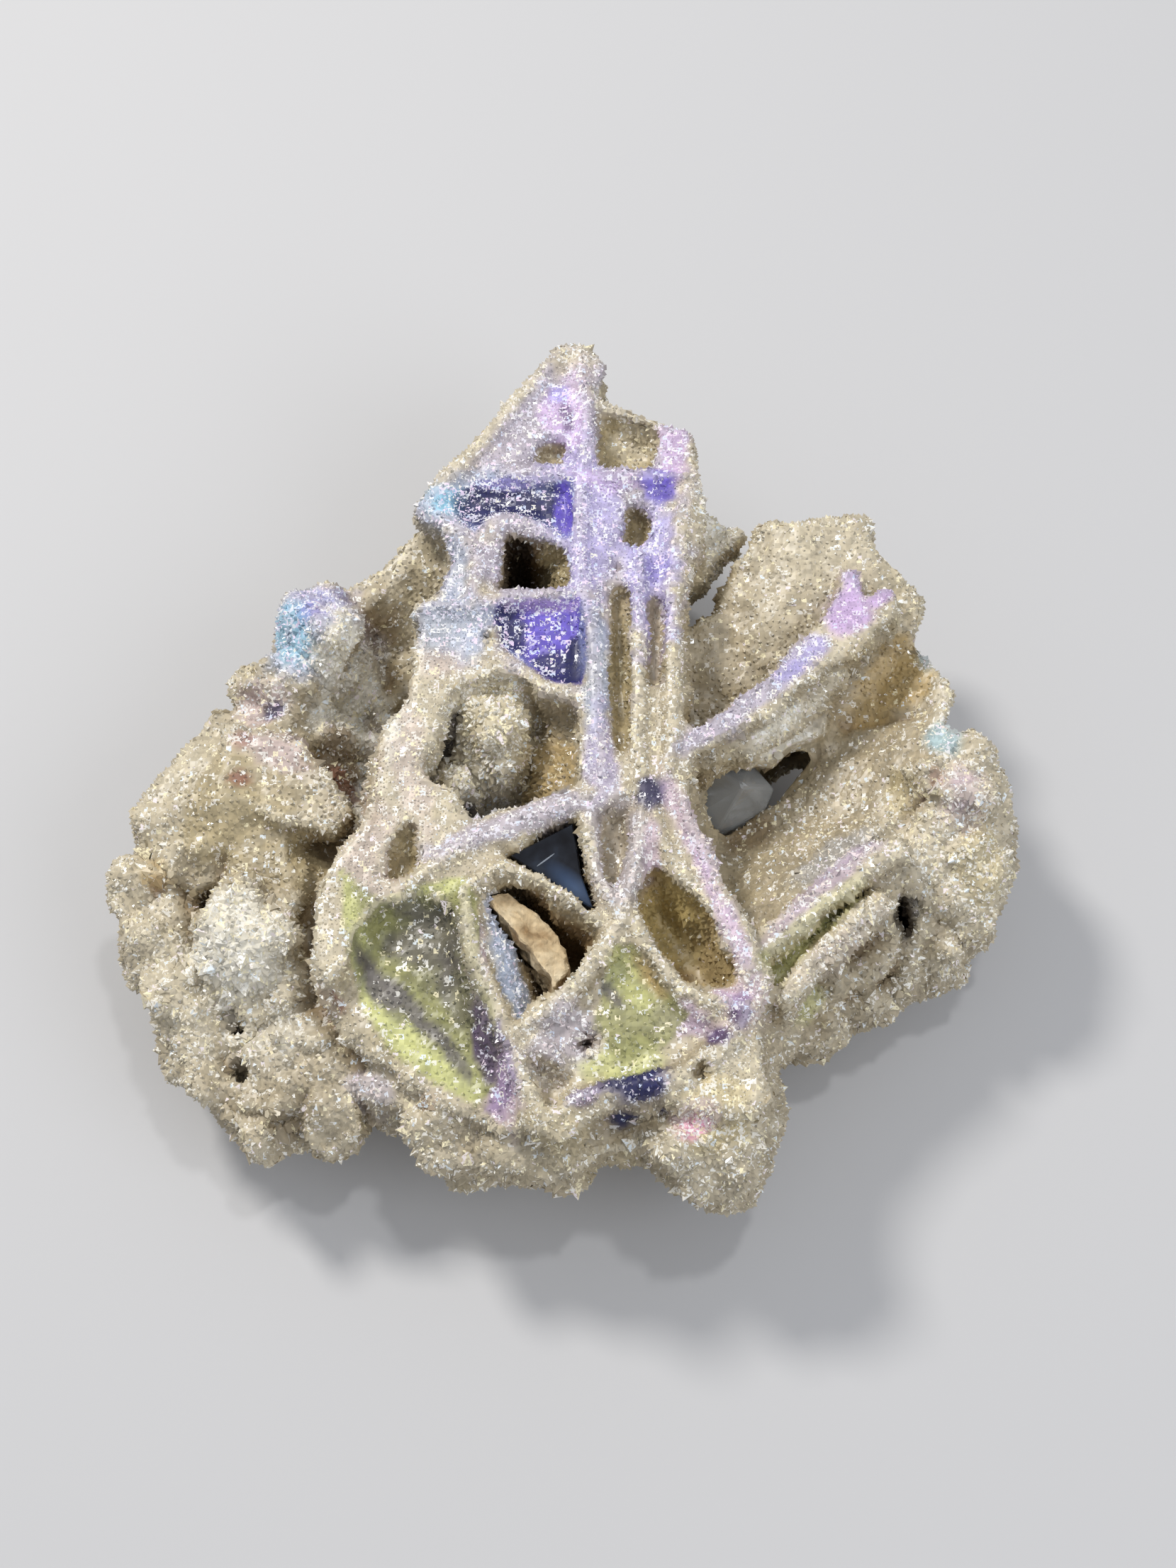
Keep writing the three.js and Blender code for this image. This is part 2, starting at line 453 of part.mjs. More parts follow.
// Pockets, [outline, depth below the crests, rounding of the floor].
const POCKETS = [
  // The tower: two shallow tan pockets, the small one beside the spine, and the long one.
  [[[3.7, 43.7], [6, 43.3], [9, 42], [11, 41.1], [10.9, 38.6], [10.6, 35.4], [3.9, 35.3]], 4.6, 1],
  [[[-2.6, 39.4], [0.2, 39.6], [1.4, 36], [-2.2, 35.6], [-4.4, 36]], 3.6, 0.6],
  [[[7.3, 31.8], [10, 30.6], [9.9, 27.8], [8.4, 25], [6.8, 26.6]], 5, 0.8],
  // The deep dark hole.
  [[[-6.6, 28.4], [-4.9, 28], [-2.4, 26.7], [0.4, 25.2], [0.7, 22.6], [0.9, 20.6], [-2, 19.8],
    [-7.4, 19.8], [-6.6, 24]], 17, 1.2],
  // The two smooth dark panels.
  [[[-12.6, 31], [-9.4, 33.2], [-5.6, 33.6], [1.3, 33.2], [1.4, 26.7], [-0.6, 27], [-3.2, 29],
    [-7, 30], [-9.6, 27.6]], 1.8, 0.5],
  [[[-7.4, 17.2], [-3, 17.8], [2.3, 18.4], [2.9, 12], [2.5, 8], [-1.8, 8.9], [-3.4, 10.6],
    [-5.6, 12.2], [-7.2, 13.8]], 2, 0.5],
  // The slots between the columns.
  [[[5, 20.6], [7.4, 20.8], [7.4, 12], [7.2, 5], [7, 0.2], [6, 0.2], [5.6, 8]], 3.8, 0.4],
  [[[9.6, 5.4], [10.9, 5.4], [10.8, -1.6], [9.6, -1.6]], 3.6, 0.2],
  [[[9.6, 19.4], [11.1, 19.4], [11, 8.4], [9.4, 8.4]], 3, 0.3],
  // The central cavity.
  [[[-11.4, 8], [-9.2, 8.8], [-7, 9.6], [-4.6, 9.6], [-2, 7.7], [1.4, 6.8], [2, 4.3], [2, -0.2],
    [1.6, -3.4], [-2.4, -4.6], [-5.8, -6.2], [-9, -7.4], [-10.4, -5], [-11.2, -3.2], [-13.2, -2.9],
    [-14.6, -1.8], [-14.2, 0.8], [-13.1, 3.2]], 16, 1.4],
  // The pocket between the long ridge and its inner tongue.
  [[[-15.8, -6.6], [-14.8, -8], [-14.9, -12.4], [-16.8, -14], [-18.4, -13.6], [-17.8, -10.6]], 4.4,
    0.6],
  // The pane's pocket.
  [[[-6.2, -10.8], [1.8, -6.6], [2.2, -9.4], [2.7, -13.1], [4, -17.1], [3.2, -17.4], [0.1, -15.2],
    [-3.1, -13], [-4.9, -12]], 5.2, 0.3],
  // The flake's pocket.
  [[[-8.2, -14.4], [-5.3, -12.9], [-3.7, -13.4], [-1.5, -14.8], [0.6, -16.8], [3.4, -18.4],
    [4.4, -20.6], [2.4, -23.6], [0.4, -26], [-0.8, -27.2], [-4.6, -29.4], [-6.4, -26],
    [-7.8, -21.8], [-8.6, -17]], 15, 0.6],
  // The amber oval pocket.
  [[[9.8, -12], [12, -14], [14.6, -16.7], [16.7, -19.8], [18.2, -23], [17.6, -25.4], [13.6, -25.6],
    [11.4, -24], [9.6, -20.8], [8.1, -18.2], [8.5, -14.6]], 9, 1.6],
  // The small triangular pocket.
  [[[4.2, -6.4], [7.5, -5.6], [7.6, -10.2], [6.2, -13.8], [4.9, -15], [4.3, -12.4], [4, -9]], 3.4,
    0.5],
  // The sunken panel on the left, which runs out over the slab's lower left.
  [[[-18.6, -16.6], [-14, -15.6], [-11, -16.6], [-9.9, -21.6], [-8.5, -26.4], [-7, -29.6],
    [-5.4, -33.4], [-3.6, -38.4], [-5, -44], [-16, -40], [-26, -31], [-24, -26.4], [-21.4, -22.4],
    [-20.8, -19.6]], 4.4, 1.4],
  // The sunken olive panel inside the lower ribs, and the crystal pocket at the tip.
  [[[5.4, -21.6], [7.6, -20.8], [10.6, -25.4], [13.6, -28.4], [17, -29.4], [14.8, -31.8],
    [11.4, -34.2], [5, -35], [1.6, -36.6], [0.4, -33], [-1.8, -30], [2, -26]], 2.4, 0.6],
  [[[-3.4, -32], [-1.4, -32.6], [1.6, -34.4], [1.2, -36.6], [-0.6, -38.2], [-2.2, -36.4]], 4.6, 0.6],
];

// Small pits, [x, y, radius, depth below the crests].
const PITS = [
  [0.7, 48.2, 0.9, 3], [-8.1, 14.6, 1, 3.4], [-2.6, 12.1, 0.9, 4.2], [6, 23, 0.9, 3],
  [2.7, -30.5, 1.5, 9], [14.4, -34.3, 1.1, 5], [5.6, -26, 1, 4.6],
];

// Pits in the lobes, [x, y, radius, top, depth].
const LOBE_PITS = [
  [-37.8, -12.4, 1.6, 20, 9], [-34.2, -26.2, 1.3, 18.5, 8], [-33.6, -30.6, 1, 17, 6],
];

// ---- Lumps, [x, y, z, half width, half length, half height] ----

const LUMPS = [
  // The left lobe.
  [-41.6, -7.4, 14, 5, 5.6, 6.4], [-32.2, -17, 15.4, 7.4, 6.4, 8.4], [-43.6, -16, 13, 4, 4.6, 5.4],
  [-39, -25.6, 12.6, 4.2, 5.2, 6], [-27.8, -26.6, 13.6, 6, 5, 6.4],
  [-30.2, -33.8, 12, 5.2, 4, 5.4],
  // The knobs at its lower edge.
  [-30.9, -37.2, 12.4, 2.6, 2.4, 3.6], [-23.6, -36.4, 12, 3.2, 2.6, 4],
  // The upper-left lobe and its knob.
  [-26.8, 18, 17, 5.6, 6.2, 8], [-30, 12.6, 16, 4.4, 4.2, 6.6], [-33.9, 12.2, 18.2, 2.2, 2, 3.8],
  // The coarse crystals in the valley.
  [-24.2, 7.4, 10.4, 2.6, 2.8, 3.6], [-20.4, 15, 10, 2.4, 3.4, 4],
  // The right rim.
  [41.4, -1, 19, 5, 4.6, 6.6], [45.4, -8.4, 15, 3, 5, 6], [42.4, -13.4, 14, 3.6, 2.8, 5],
  // Under the right plate.
  [39.4, -16.6, 11, 4, 2.6, 4.4], [33.4, -20.2, 10, 4, 2.8, 5], [28.2, -24.6, 9.6, 3.2, 2.6, 4.8],
  // The lower-right block.
  [16.6, -39.4, 15, 4.6, 4.2, 8], [12.4, -40, 18.8, 2.6, 2.2, 3.6],
  // The bottom rim.
  [-3, -40.2, 17, 5.2, 2.6, 4.8], [-12, -37.4, 16.6, 3.8, 2.8, 4.8],
];

// Lumps on the floor of the central cavity.
const CAVITY_LUMPS = [
  [-7.4, 5.9, 17, 4.9, 5.6, 9.4], [-11.4, -0.6, 13.6, 2.4, 3, 8.4],
];

// ---- The pieces ----

function slopeWall({ outline, foot, head, turn }) {
  return ramp(outline, SLOPE_FOOT, (x, y) => {
    const across = x * Math.cos(turn) + y * Math.sin(turn);
    const rise = THREE.MathUtils.mapLinear(across, foot[0], head[0], foot[1], head[1]);
    return Math.min(rise, head[1]);
  });
}

function boxwork() {
  const lumps = LUMPS.map((where, i) => lump(where, i));
  const pointed = LUMPS.flatMap((where, i) => (where[3] > POINT_LUMP ? quartzPoints(where, i) : []));
  const cavityLumps = CAVITY_LUMPS.map((where, i) => lump(where, 50 + i));
  const ledges = LEDGES.map(([outline, bottom, top]) => solid(block(outline, bottom, top)));
  const pockets = POCKETS.map(([outline, depth, edge]) => pocket(outline, depth, edge));
  const pits = PITS.map(([x, y, radius, depth]) => pit(x, y, crestAt(x, y), depth, radius));
  const lobePits = LOBE_PITS.map(([x, y, radius, top, depth]) => pit(x, y, top, depth, radius));
  const gaps = GAPS.map(([outline, top]) => solid(block(outline, -5, top)));
  const ribs = RIBS.map(([path, width]) => rib(path, width));
  return join([crust(), plate()].concat(lumps, pointed))
    .subtract(join(pockets.concat(gaps)))
    .add(join(ribs.concat(cavityLumps, ledges, SLOPES.map(slopeWall))))
    .subtract(join(pits.concat(lobePits, crystal(SEAT_GAP))));
}

function pane() {
  return solid(onFace(block(PANE.outline, PANE.bottom, PANE.top, 0.15)));
}

// The clear crystal, or with a gap the room that it needs.
function crystal(gap = 0) {
  const [x, y, z] = CRYSTAL.middle;
  const points = CRYSTAL.points.map(([a, b, c]) => {
    const corner = new THREE.Vector3(a, b, c);
    return corner.setLength(corner.length() + gap * 1.3);
  });
  return solid(new ConvexGeometry(points).translate(x, y, z));
}

function flake() {
  const [[leftX, leftY]] = FLAKE.outline;
  return ramp(FLAKE.outline, FLAKE.bottom, (x, y) =>
    FLAKE.edge + FLAKE.slope * (0.8 * (x - leftX) + 0.6 * (y - leftY)),
  );
}

function mesh(name, shape, colour, roughness, metalness = 0) {
  const { vertProperties, triVerts } = shape.getMesh();
  const geometry = new THREE.BufferGeometry();
  geometry.setAttribute("position", new THREE.BufferAttribute(vertProperties, 3));
  geometry.setIndex(new THREE.BufferAttribute(triVerts, 1));
  geometry.computeVertexNormals();
  const material = new THREE.MeshStandardMaterial({ color: colour, roughness, metalness });
  const made = new THREE.Mesh(geometry, material);
  made.name = name;
  return made;
}

const group = new THREE.Group();
group.add(mesh("druzy_boxwork", boxwork(), "#cdbfa8", 0.45));
group.add(mesh("sphalerite_pane", pane(), "#14161f", 0.12));
group.add(mesh("clear_crystal", crystal(), "#aab0b6", 0.08));
group.add(mesh("matrix_flake", flake(), "#c9b083", 0.85));

// The origin is under the middle of the slab, on the surface that it rests on.
const box = new THREE.Box3().setFromObject(group);
const middle = box.getCenter(new THREE.Vector3());
group.position.set(-middle.x, -middle.y, -box.min.z);

export default group;
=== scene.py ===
import itertools
import math
from collections import namedtuple

import bmesh
import bpy
import numpy as np
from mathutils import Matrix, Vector
from mathutils.bvhtree import BVHTree


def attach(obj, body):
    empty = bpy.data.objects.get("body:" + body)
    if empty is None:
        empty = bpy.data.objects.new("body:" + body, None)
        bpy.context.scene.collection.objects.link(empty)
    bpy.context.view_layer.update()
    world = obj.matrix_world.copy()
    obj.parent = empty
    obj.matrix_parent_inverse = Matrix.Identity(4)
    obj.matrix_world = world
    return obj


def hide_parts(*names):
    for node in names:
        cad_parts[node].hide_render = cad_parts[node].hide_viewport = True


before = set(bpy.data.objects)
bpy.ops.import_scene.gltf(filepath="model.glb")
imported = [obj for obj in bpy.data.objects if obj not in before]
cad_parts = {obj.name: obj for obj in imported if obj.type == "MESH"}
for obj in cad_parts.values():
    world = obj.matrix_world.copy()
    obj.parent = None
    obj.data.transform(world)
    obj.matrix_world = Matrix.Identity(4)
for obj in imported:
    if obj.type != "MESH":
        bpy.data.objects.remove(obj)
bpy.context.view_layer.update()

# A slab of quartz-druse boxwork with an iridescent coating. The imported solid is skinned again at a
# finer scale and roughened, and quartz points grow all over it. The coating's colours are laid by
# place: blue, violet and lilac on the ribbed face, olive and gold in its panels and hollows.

MM = 0.001

# The places below are in millimetres from this point of the frame, X and Y.
FACE_MIDDLE = np.array([-0.333, -3.753])

# The rib crests lie on a gentle arch: its greatest height, where that lies along Y, and how fast it
# falls away along X and Y.
CREST = 28.6
CREST_MIDDLE = 5.0
CREST_FALL = (0.0012, 0.0006)

# ---- Finishes, linear colours ----

CREAM = (0.60, 0.535, 0.40)
TAN = (0.41, 0.345, 0.235)
BROWN = (0.22, 0.145, 0.07)
# A near-black that paints shade deep in hollows, pits, gaps and holes.
SHADE_BLACK = (0.02, 0.012, 0.007)
WEB = (0.44, 0.40, 0.50)
LAVENDER = (0.40, 0.36, 0.74)
VIOLET = (0.13, 0.09, 0.50)
NAVY = (0.014, 0.015, 0.085)
STEEL = (0.20, 0.23, 0.42)
CYAN = (0.30, 0.60, 0.76)
LILAC = (0.58, 0.42, 0.68)
PINK = (0.55, 0.43, 0.46)
OLIVE = (0.29, 0.29, 0.11)
LIME = (0.58, 0.59, 0.24)
GOLD = (0.52, 0.42, 0.18)
RUST = (0.20, 0.045, 0.025)
AMBER = (0.47, 0.34, 0.15)
OCHRE = (0.41, 0.335, 0.19)
ICE = (0.36, 0.42, 0.54)
SMOKE = (0.13, 0.115, 0.11)
PLUM = (0.10, 0.06, 0.15)
PALE = (0.78, 0.74, 0.63)
ROSE = (0.80, 0.36, 0.50)

# The coating's finishes. Painted glints are lavender and white on them, white and gold on the others.
COATED = (WEB, LAVENDER, VIOLET, NAVY, STEEL, CYAN, LILAC, ICE, PLUM)

# Where a finish shows: [finish, x, y, half length, half width, turn in degrees, strength, share of
# facets with painted glints, lowest height it reaches]. Later ones lie over earlier ones.
TINTS = [
    # The tower.
    (WEB, 0, 32, 15, 24, 0, 0.8, 0.30, 25),
    (CREAM, 8.2, 43.8, 6.2, 2.9, -20, 0.9, 0.22, 14),
    (PALE, 18.4, 30.6, 3.4, 5, 0, 0.75, 0.44, 3),
    (TAN, -13, 36, 10, 3.0, 51, 0.8, 0.12, 17),
    (CREAM, -16, 27, 3.4, 9, -20, 0.6, 0.14, 14),
    (OCHRE, -15, 28, 1.6, 5, -20, 0.5, 0.08, 14),
    (CREAM, -4.6, 47, 6, 1.6, 56, 0.7, 0.22, 22),
    (CREAM, -8.6, 41, 9, 2.0, 54, 0.75, 0.24, 20),
    (LILAC, 1.6, 44.5, 2.2, 8, 0, 0.45, 0.36, 25),
    (CREAM, 1.6, 51, 3, 2.6, 0, 0.6, 0.3, 22),
    (LILAC, 12.6, 38.6, 2.0, 6, 0, 0.75, 0.28, 24),
    (ICE, -12.6, 31, 6.5, 3.2, 25, 0.8, 0.36, 23),
    (CYAN, -13.6, 31.4, 2.6, 2.2, 0, 0.85, 0.35, 23),
    (LAVENDER, 2, 28, 5, 13, 0, 0.5, 0.3, 25),
    (LILAC, 6, 33.6, 7, 1.3, 0, 0.55, 0.28, 25),
    (VIOLET, 10.8, 32.9, 2.3, 2.1, 0, 0.95, 0.04, 24),
    (LAVENDER, 10, 22, 3, 11, 0, 0.6, 0.24, 25),
    (VIOLET, 10.8, 22.4, 1.5, 2.4, 0, 0.45, 0.12, 25),
    (VIOLET, 10.2, 11.6, 0.9, 1.6, 0, 0.5, 0.12, 25),
    (ICE, -11.6, 23, 1.8, 5, 0, 0.7, 0.3, 24),
    # The second dark panel and the columns beside it.
    (ICE, -11.4, 15, 5, 4, 0, 0.75, 0.34, 23),
    (PINK, -13, 11.2, 2.6, 2.0, 0, 0.4, 0.3, 23),
    (ICE, 3.9, 10, 1.6, 9, 0, 0.7, 0.18, 25),
    (LAVENDER, 4.4, 0, 1.8, 6, 0, 0.45, 0.22, 25),
    # The long ridge and the middle.
    (CREAM, -16.5, 3, 5, 14, 12, 0.45, 0.2, 22),
    (PINK, -16.5, 2, 2.2, 12, 14, 0.35, 0.24, 24),
    (PINK, -19.5, -12, 3.4, 9, 8, 0.35, 0.24, 24),
    (WEB, -4, -7.4, 11, 1.9, 22, 0.7, 0.36, 25),
    (NAVY, 9.4, -4.2, 1.6, 2.0, 0, 0.9, 0.12, 24),
    (LILAC, 14.6, -10, 1.6, 9, 24, 0.45, 0.3, 24),
    (WEB, 5.8, -10, 3, 8, 8, 0.5, 0.3, 24),
    # The lower panels.
    (PLUM, -6.8, -32.6, 2.0, 6.4, 18, 0.85, 0.2, 18),
    (LILAC, -5.6, -36, 1.6, 4, 18, 0.5, 0.3, 18),
    (LILAC, -8.6, -22, 1.4, 9, 10, 0.5, 0.34, 24),
    (LILAC, 16.8, -17.6, 1.2, 9, 22, 0.55, 0.3, 24),
    (LILAC, 9.6, -14, 1.0, 6, 0, 0.4, 0.3, 24),
    (LILAC, 12.4, -28.6, 4, 1.8, -14, 0.5, 0.34, 23),
    (PINK, 18.4, -27, 3, 3.4, 0, 0.6, 0.42, 22),
    (WEB, 0.4, -31, 3.4, 5, -40, 0.6, 0.36, 23),
    (CREAM, 15.4, -38, 5.4, 6, 0, 0.5, 0.30, 14),
    (GOLD, 15.4, -38, 4.4, 3.6, 0, 0.5, 0.46, 10),
    (PINK, 13.6, -38.6, 2.2, 1.6, 0, 0.8, 0.5, 10),
    (NAVY, 7.6, -35.2, 4.6, 1.7, 14, 1.0, 0.05, 15),
    (PLUM, 2.4, -37, 2.6, 1.2, 20, 0.8, 0.24, 15),
    (LIME, 6.9, -33.0, 5, 2.2, 14, 0.75, 0.14, 15),
    (NAVY, 8.5, -36.1, 3.8, 1.7, 14, 1.0, 0.12, 14),
    (PLUM, 16.2, -30.7, 1.5, 1.3, 0, 0.95, 0.2, 15),
    (PLUM, 18.4, -28.2, 1.3, 2.0, 0, 0.9, 0.16, 15),
    (LILAC, 17.6, -26.6, 2.0, 1.4, 0, 0.5, 0.3, 15),
    (VIOLET, -7.0, -29.5, 1.2, 2.0, 14, 0.6, 0.3, 15),
    (ROSE, 13.4, -39.2, 1.9, 1.2, 20, 0.85, 0.6, 8),
    # The upper-left lobe.
    (CREAM, -28, 16, 6, 6, 0, 0.4, 0.25, 14),
    (ICE, -28, 17.4, 6.6, 6.4, 30, 0.8, 0.38, 13),
    (LAVENDER, -25.4, 19.8, 4, 4, 0, 0.45, 0.36, 13),
    (CYAN, -29.4, 16.6, 2.8, 3.6, 20, 0.65, 0.4, 13),
    (VIOLET, -26.6, 18.6, 2.2, 1.6, 0, 0.45, 0.34, 15),
    (PINK, -33, 9.4, 3.6, 3, 0, 0.6, 0.42, 15),
    (NAVY, -31.2, 8.6, 1.5, 1.2, 0, 0.8, 0.3, 15),
    # The left lobe.
    (OCHRE, -34, -2.6, 8, 7, 0, 0.75, 0.10, 12),
    (CREAM, -39.4, 4, 2, 7, -30, 0.55, 0.16, 14),
    (TAN, -29, 1, 6, 4, -30, 0.5, 0.14, 18),
    (PINK, -29.5, 3.2, 6, 2.4, -14, 0.6, 0.3, 17),
    (RUST, -34.4, -0.2, 1.3, 1.0, 0, 0.75, 0.2, 15),
    (RUST, -34.4, 4.4, 1.2, 1.2, 0, 0.6, 0.2, 15),
    (OCHRE, -29, -8.4, 6, 3.6, 0, 0.6, 0.08, 12),
    (RUST, -43.3, -11, 1.2, 1.0, 0, 0.8, 0.2, 12),
    (CREAM, -34, -22, 10, 9, 0, 0.75, 0.2, 8),
    (PALE, -33.6, -19, 6.6, 6, 0, 0.9, 0.34, 8),
    (PALE, -31, -28.6, 6, 4, 0, 0.5, 0.26, 8),
    (CREAM, -43.4, -17, 3, 8, 0, 0.6, 0.14, 8),
    (TAN, -30, -33, 9, 5, 0, 0.6, 0.12, 8),
    (AMBER, -43.6, -10.2, 1.6, 1.8, 0, 0.7, 0.1, 8),
    # Two small pits, painted black as shade.
    (SHADE_BLACK, -37.3, -14.5, 0.8, 0.5, 0, 0.9, 0.02, 8),
    (SHADE_BLACK, -34.9, -25.6, 0.8, 0.8, 0, 0.9, 0.02, 8),
    (WEB, -19.8, -33.7, 3.4, 1.6, -30, 0.5, 0.34, 14),
    (RUST, -23.4, -26, 1.5, 0.8, -40, 0.7, 0.3, 12),
    (RUST, -13.4, -36, 1.0, 0.8, 0, 0.5, 0.3, 14),
    # The valley.
    (PALE, -22.6, 8, 4.4, 12, 6, 0.95, 0.38, 2),
    (BROWN, -20.6, 4, 1.8, 9, 6, 0.85, 0.10, 2),
    (BROWN, -22, -3.4, 3.4, 4.6, 10, 0.4, 0.2, 2),
    (BROWN, -25, 5, 2.4, 5, -22, 0.8, 0.16, 2),
    (RUST, -24.4, 2.8, 1.6, 2.2, 0, 0.6, 0.2, 2),
    (PALE, -21.6, -1, 1.3, 2, 0, 0.8, 0.5, 2),
    (BROWN, -21, 21, 3, 2, 20, 0.6, 0.14, 2),
    (PALE, -21.4, 7.6, 1.8, 2.2, 0, 0.7, 0.44, 2),
    (PALE, -24.6, 14, 1.8, 2.6, 0, 0.7, 0.4, 2),
    (RUST, -21.2, -3, 1.0, 3.4, 8, 0.5, 0.06, 2),
    # The forked rib and the fan plates.
    (CREAM, 28, 22, 9, 9, 0, 0.35, 0.11, 18),
    (PALE, 24.4, 4.4, 5.6, 2.2, 40, 0.8, 0.34, 17.5),
    (TAN, 17.5, 12, 4, 8, 0, 0.5, 0.10, 12),
    (WEB, 20, 6.6, 10, 1.9, 38, 0.85, 0.26, 24.5),
    (LAVENDER, 26, 12, 4, 2.0, 38, 0.7, 0.24, 24.5),
    (LILAC, 31, 17.4, 3.2, 3.0, 0, 0.95, 0.16, 24.5),
    (LILAC, 32, 21.4, 1.2, 2.4, 0, 0.95, 0.16, 24.5),
    (LILAC, 35.4, 19.4, 2.2, 1.2, 38, 0.95, 0.16, 24.5),
    (AMBER, 36.6, 12.4, 6.4, 4, 40, 0.9, 0.05, 12),
    (CREAM, 42, 8, 1.8, 6, -10, 0.7, 0.4, 16),
    (CYAN, 41, 17, 1.2, 3.4, -12, 0.55, 0.46, 14),
    (CYAN, 41.6, 4.2, 2.2, 2.8, 0, 0.5, 0.4, 14),
    (TAN, 27, -6, 9, 8, 40, 0.55, 0.24, 10),
    (ICE, 29, -9.6, 6, 2.4, 40, 0.3, 0.36, 10),
    (CREAM, 42, -8, 8, 10, 0, 0.6, 0.30, 10),
    (GOLD, 45, -9, 2.6, 6, 0, 0.35, 0.50, 12),
    (GOLD, 36.6, -1.6, 1.6, 4, 0, 0.35, 0.46, 12),
    (PINK, 43, -3, 3.4, 4, 0, 0.45, 0.42, 12),
    (LILAC, 42.6, -2.6, 2.6, 2.4, 0, 0.25, 0.42, 12),
    (BROWN, 21, -3.6, 3.4, 2.6, 30, 0.6, 0.1, 6),
    (LILAC, 27, -14.6, 9, 1.4, 44, 0.45, 0.34, 22),
    (LIME, 26.4, -17.6, 8, 1.6, 41, 0.6, 0.14, 12),
    (LIME, 25, -23, 3, 2.6, 41, 0.5, 0.2, 12),
    (PINK, 27.6, -21.2, 8, 1.6, 42, 0.6, 0.38, 20),
    (RUST, 40, -1, 1.2, 1.4, 0, 0.5, 0.3, 14),
]

# An oval that covers any panel whole.
ALL = (0, 0, 999, 999, 0)

# Sharply bounded panels, [outline, lowest height, (finish, x, y, half length, half width, turn,
# strength, share of facets with painted glints)...].
PANELS = [
    # The two dark panels, and the small one at the tip.
    ([(-12.8, 32), (-9.6, 33.9), (-5.7, 34.2), (-2.5, 34), (1.6, 34), (1.6, 30.8), (1.3, 26.4),
      (-0.2, 26.4), (-1.5, 27.9), (-3.6, 29.1), (-5.4, 29.8), (-7, 30), (-8.3, 29), (-9.6, 26.9),
      (-11.2, 28.7)], 22,
     (STEEL, *ALL, 0.95, 0.40), (CYAN, -12.2, 31.4, 2.2, 2.2, 0, 0.8, 0.36),
     (NAVY, -8.2, 30.6, 4.4, 3.4, 0, 0.95, 0.42), (NAVY, -3.4, 31, 6.4, 3, -12, 1.0, 0.30),
     (LAVENDER, -5, 34, 5, 1.1, 0, 0.6, 0.4), (VIOLET, 0.5, 29.6, 1.4, 4.6, 0, 0.95, 0.10)),
    ([(-7, 18.3), (-2.4, 18.6), (2, 18.7), (3, 18), (3, 14.8), (2.5, 8.2), (0.2, 8.8), (-1.8, 9.3),
      (-3.4, 10.7), (-5.5, 12.4), (-6.6, 13.8), (-7.2, 16.3)], 22,
     (VIOLET, *ALL, 1.0, 0.20), (NAVY, -5.8, 14.8, 2.8, 4.6, 0, 0.95, 0.38),
     (LILAC, -1.6, 18, 5, 0.8, 0, 0.5, 0.4), (STEEL, -4.6, 11.6, 3, 1, -38, 0.6, 0.5),
     (NAVY, -0.4, 10.6, 2.8, 2.2, -30, 0.9, 0.28), (NAVY, 1.6, 11, 1.4, 4, 0, 0.97, 0.04),
     (STEEL, 2.7, 15, 0.7, 7, 0, 0.8, 0.06)),
    ([(-1.5, 46.6), (0.6, 46.9), (2.4, 45.5), (2.3, 38.5), (0.1, 37.9), (-3.1, 42.5)], 24,
     (LILAC, *ALL, 0.7, 0.44), (LAVENDER, -0.2, 45.6, 1.6, 1.6, 0, 0.8, 0.36),
     (PLUM, 0.5, 43, 1.0, 2.2, 16, 0.85, 0.5)),
    # The sunken panel at the left.
    ([(-22.6, -12.6), (-22.4, -17), (-21.6, -21.1), (-20, -27), (-17.6, -30.8), (-14.9, -33),
      (-10.5, -35.4), (-8.4, -36.6), (-6.2, -35.2), (-6.1, -28.3), (-7.7, -23.3), (-8.4, -15.8),
      (-9.9, -13.4), (-14.7, -14.7), (-18.6, -16)], 14,
     (OLIVE, *ALL, 0.95, 0.06), (LIME, -21.4, -18, 1.4, 6, 12, 0.7, 0.06),
     (LIME, -13, -14.8, 6, 1.2, 8, 0.6, 0.1), (LIME, -15.6, -30.4, 1.6, 7, 46, 0.8, 0.16),
     (LIME, -10.4, -33.4, 1.6, 4, 50, 0.7, 0.12), (SMOKE, -13.6, -19.4, 4.6, 4.6, 34, 0.8, 0.2),
     (LIME, -17.2, -27.4, 1.0, 5, 36, 0.7, 0.1), (SMOKE, -18.9, -23.6, 1.3, 5, 30, 0.95, 0.04),
     (SMOKE, -10, -25, 2.4, 5, 16, 0.6, 0.12), (SMOKE, -14.6, -27.2, 0.8, 6, 38, 0.9, 0.03),
     (SMOKE, -11.4, -30.4, 0.8, 4.6, 34, 0.85, 0.03),
     (PLUM, -7.2, -31.4, 1.3, 4.8, 14, 0.85, 0.2)),
    # The sunken panel between the lower ribs.
    ([(5.4, -21.4), (7.6, -20.8), (10.6, -25.4), (13.4, -28.2), (11, -31.4), (6, -33.4), (3.4, -29)],
     22, (OLIVE, *ALL, 0.85, 0.10), (LIME, 7.2, -25, 1.6, 5, 30, 0.5, 0.12),
     (SMOKE, 5.4, -26, 0.7, 2.4, 44, 0.85, 0.04)),
]

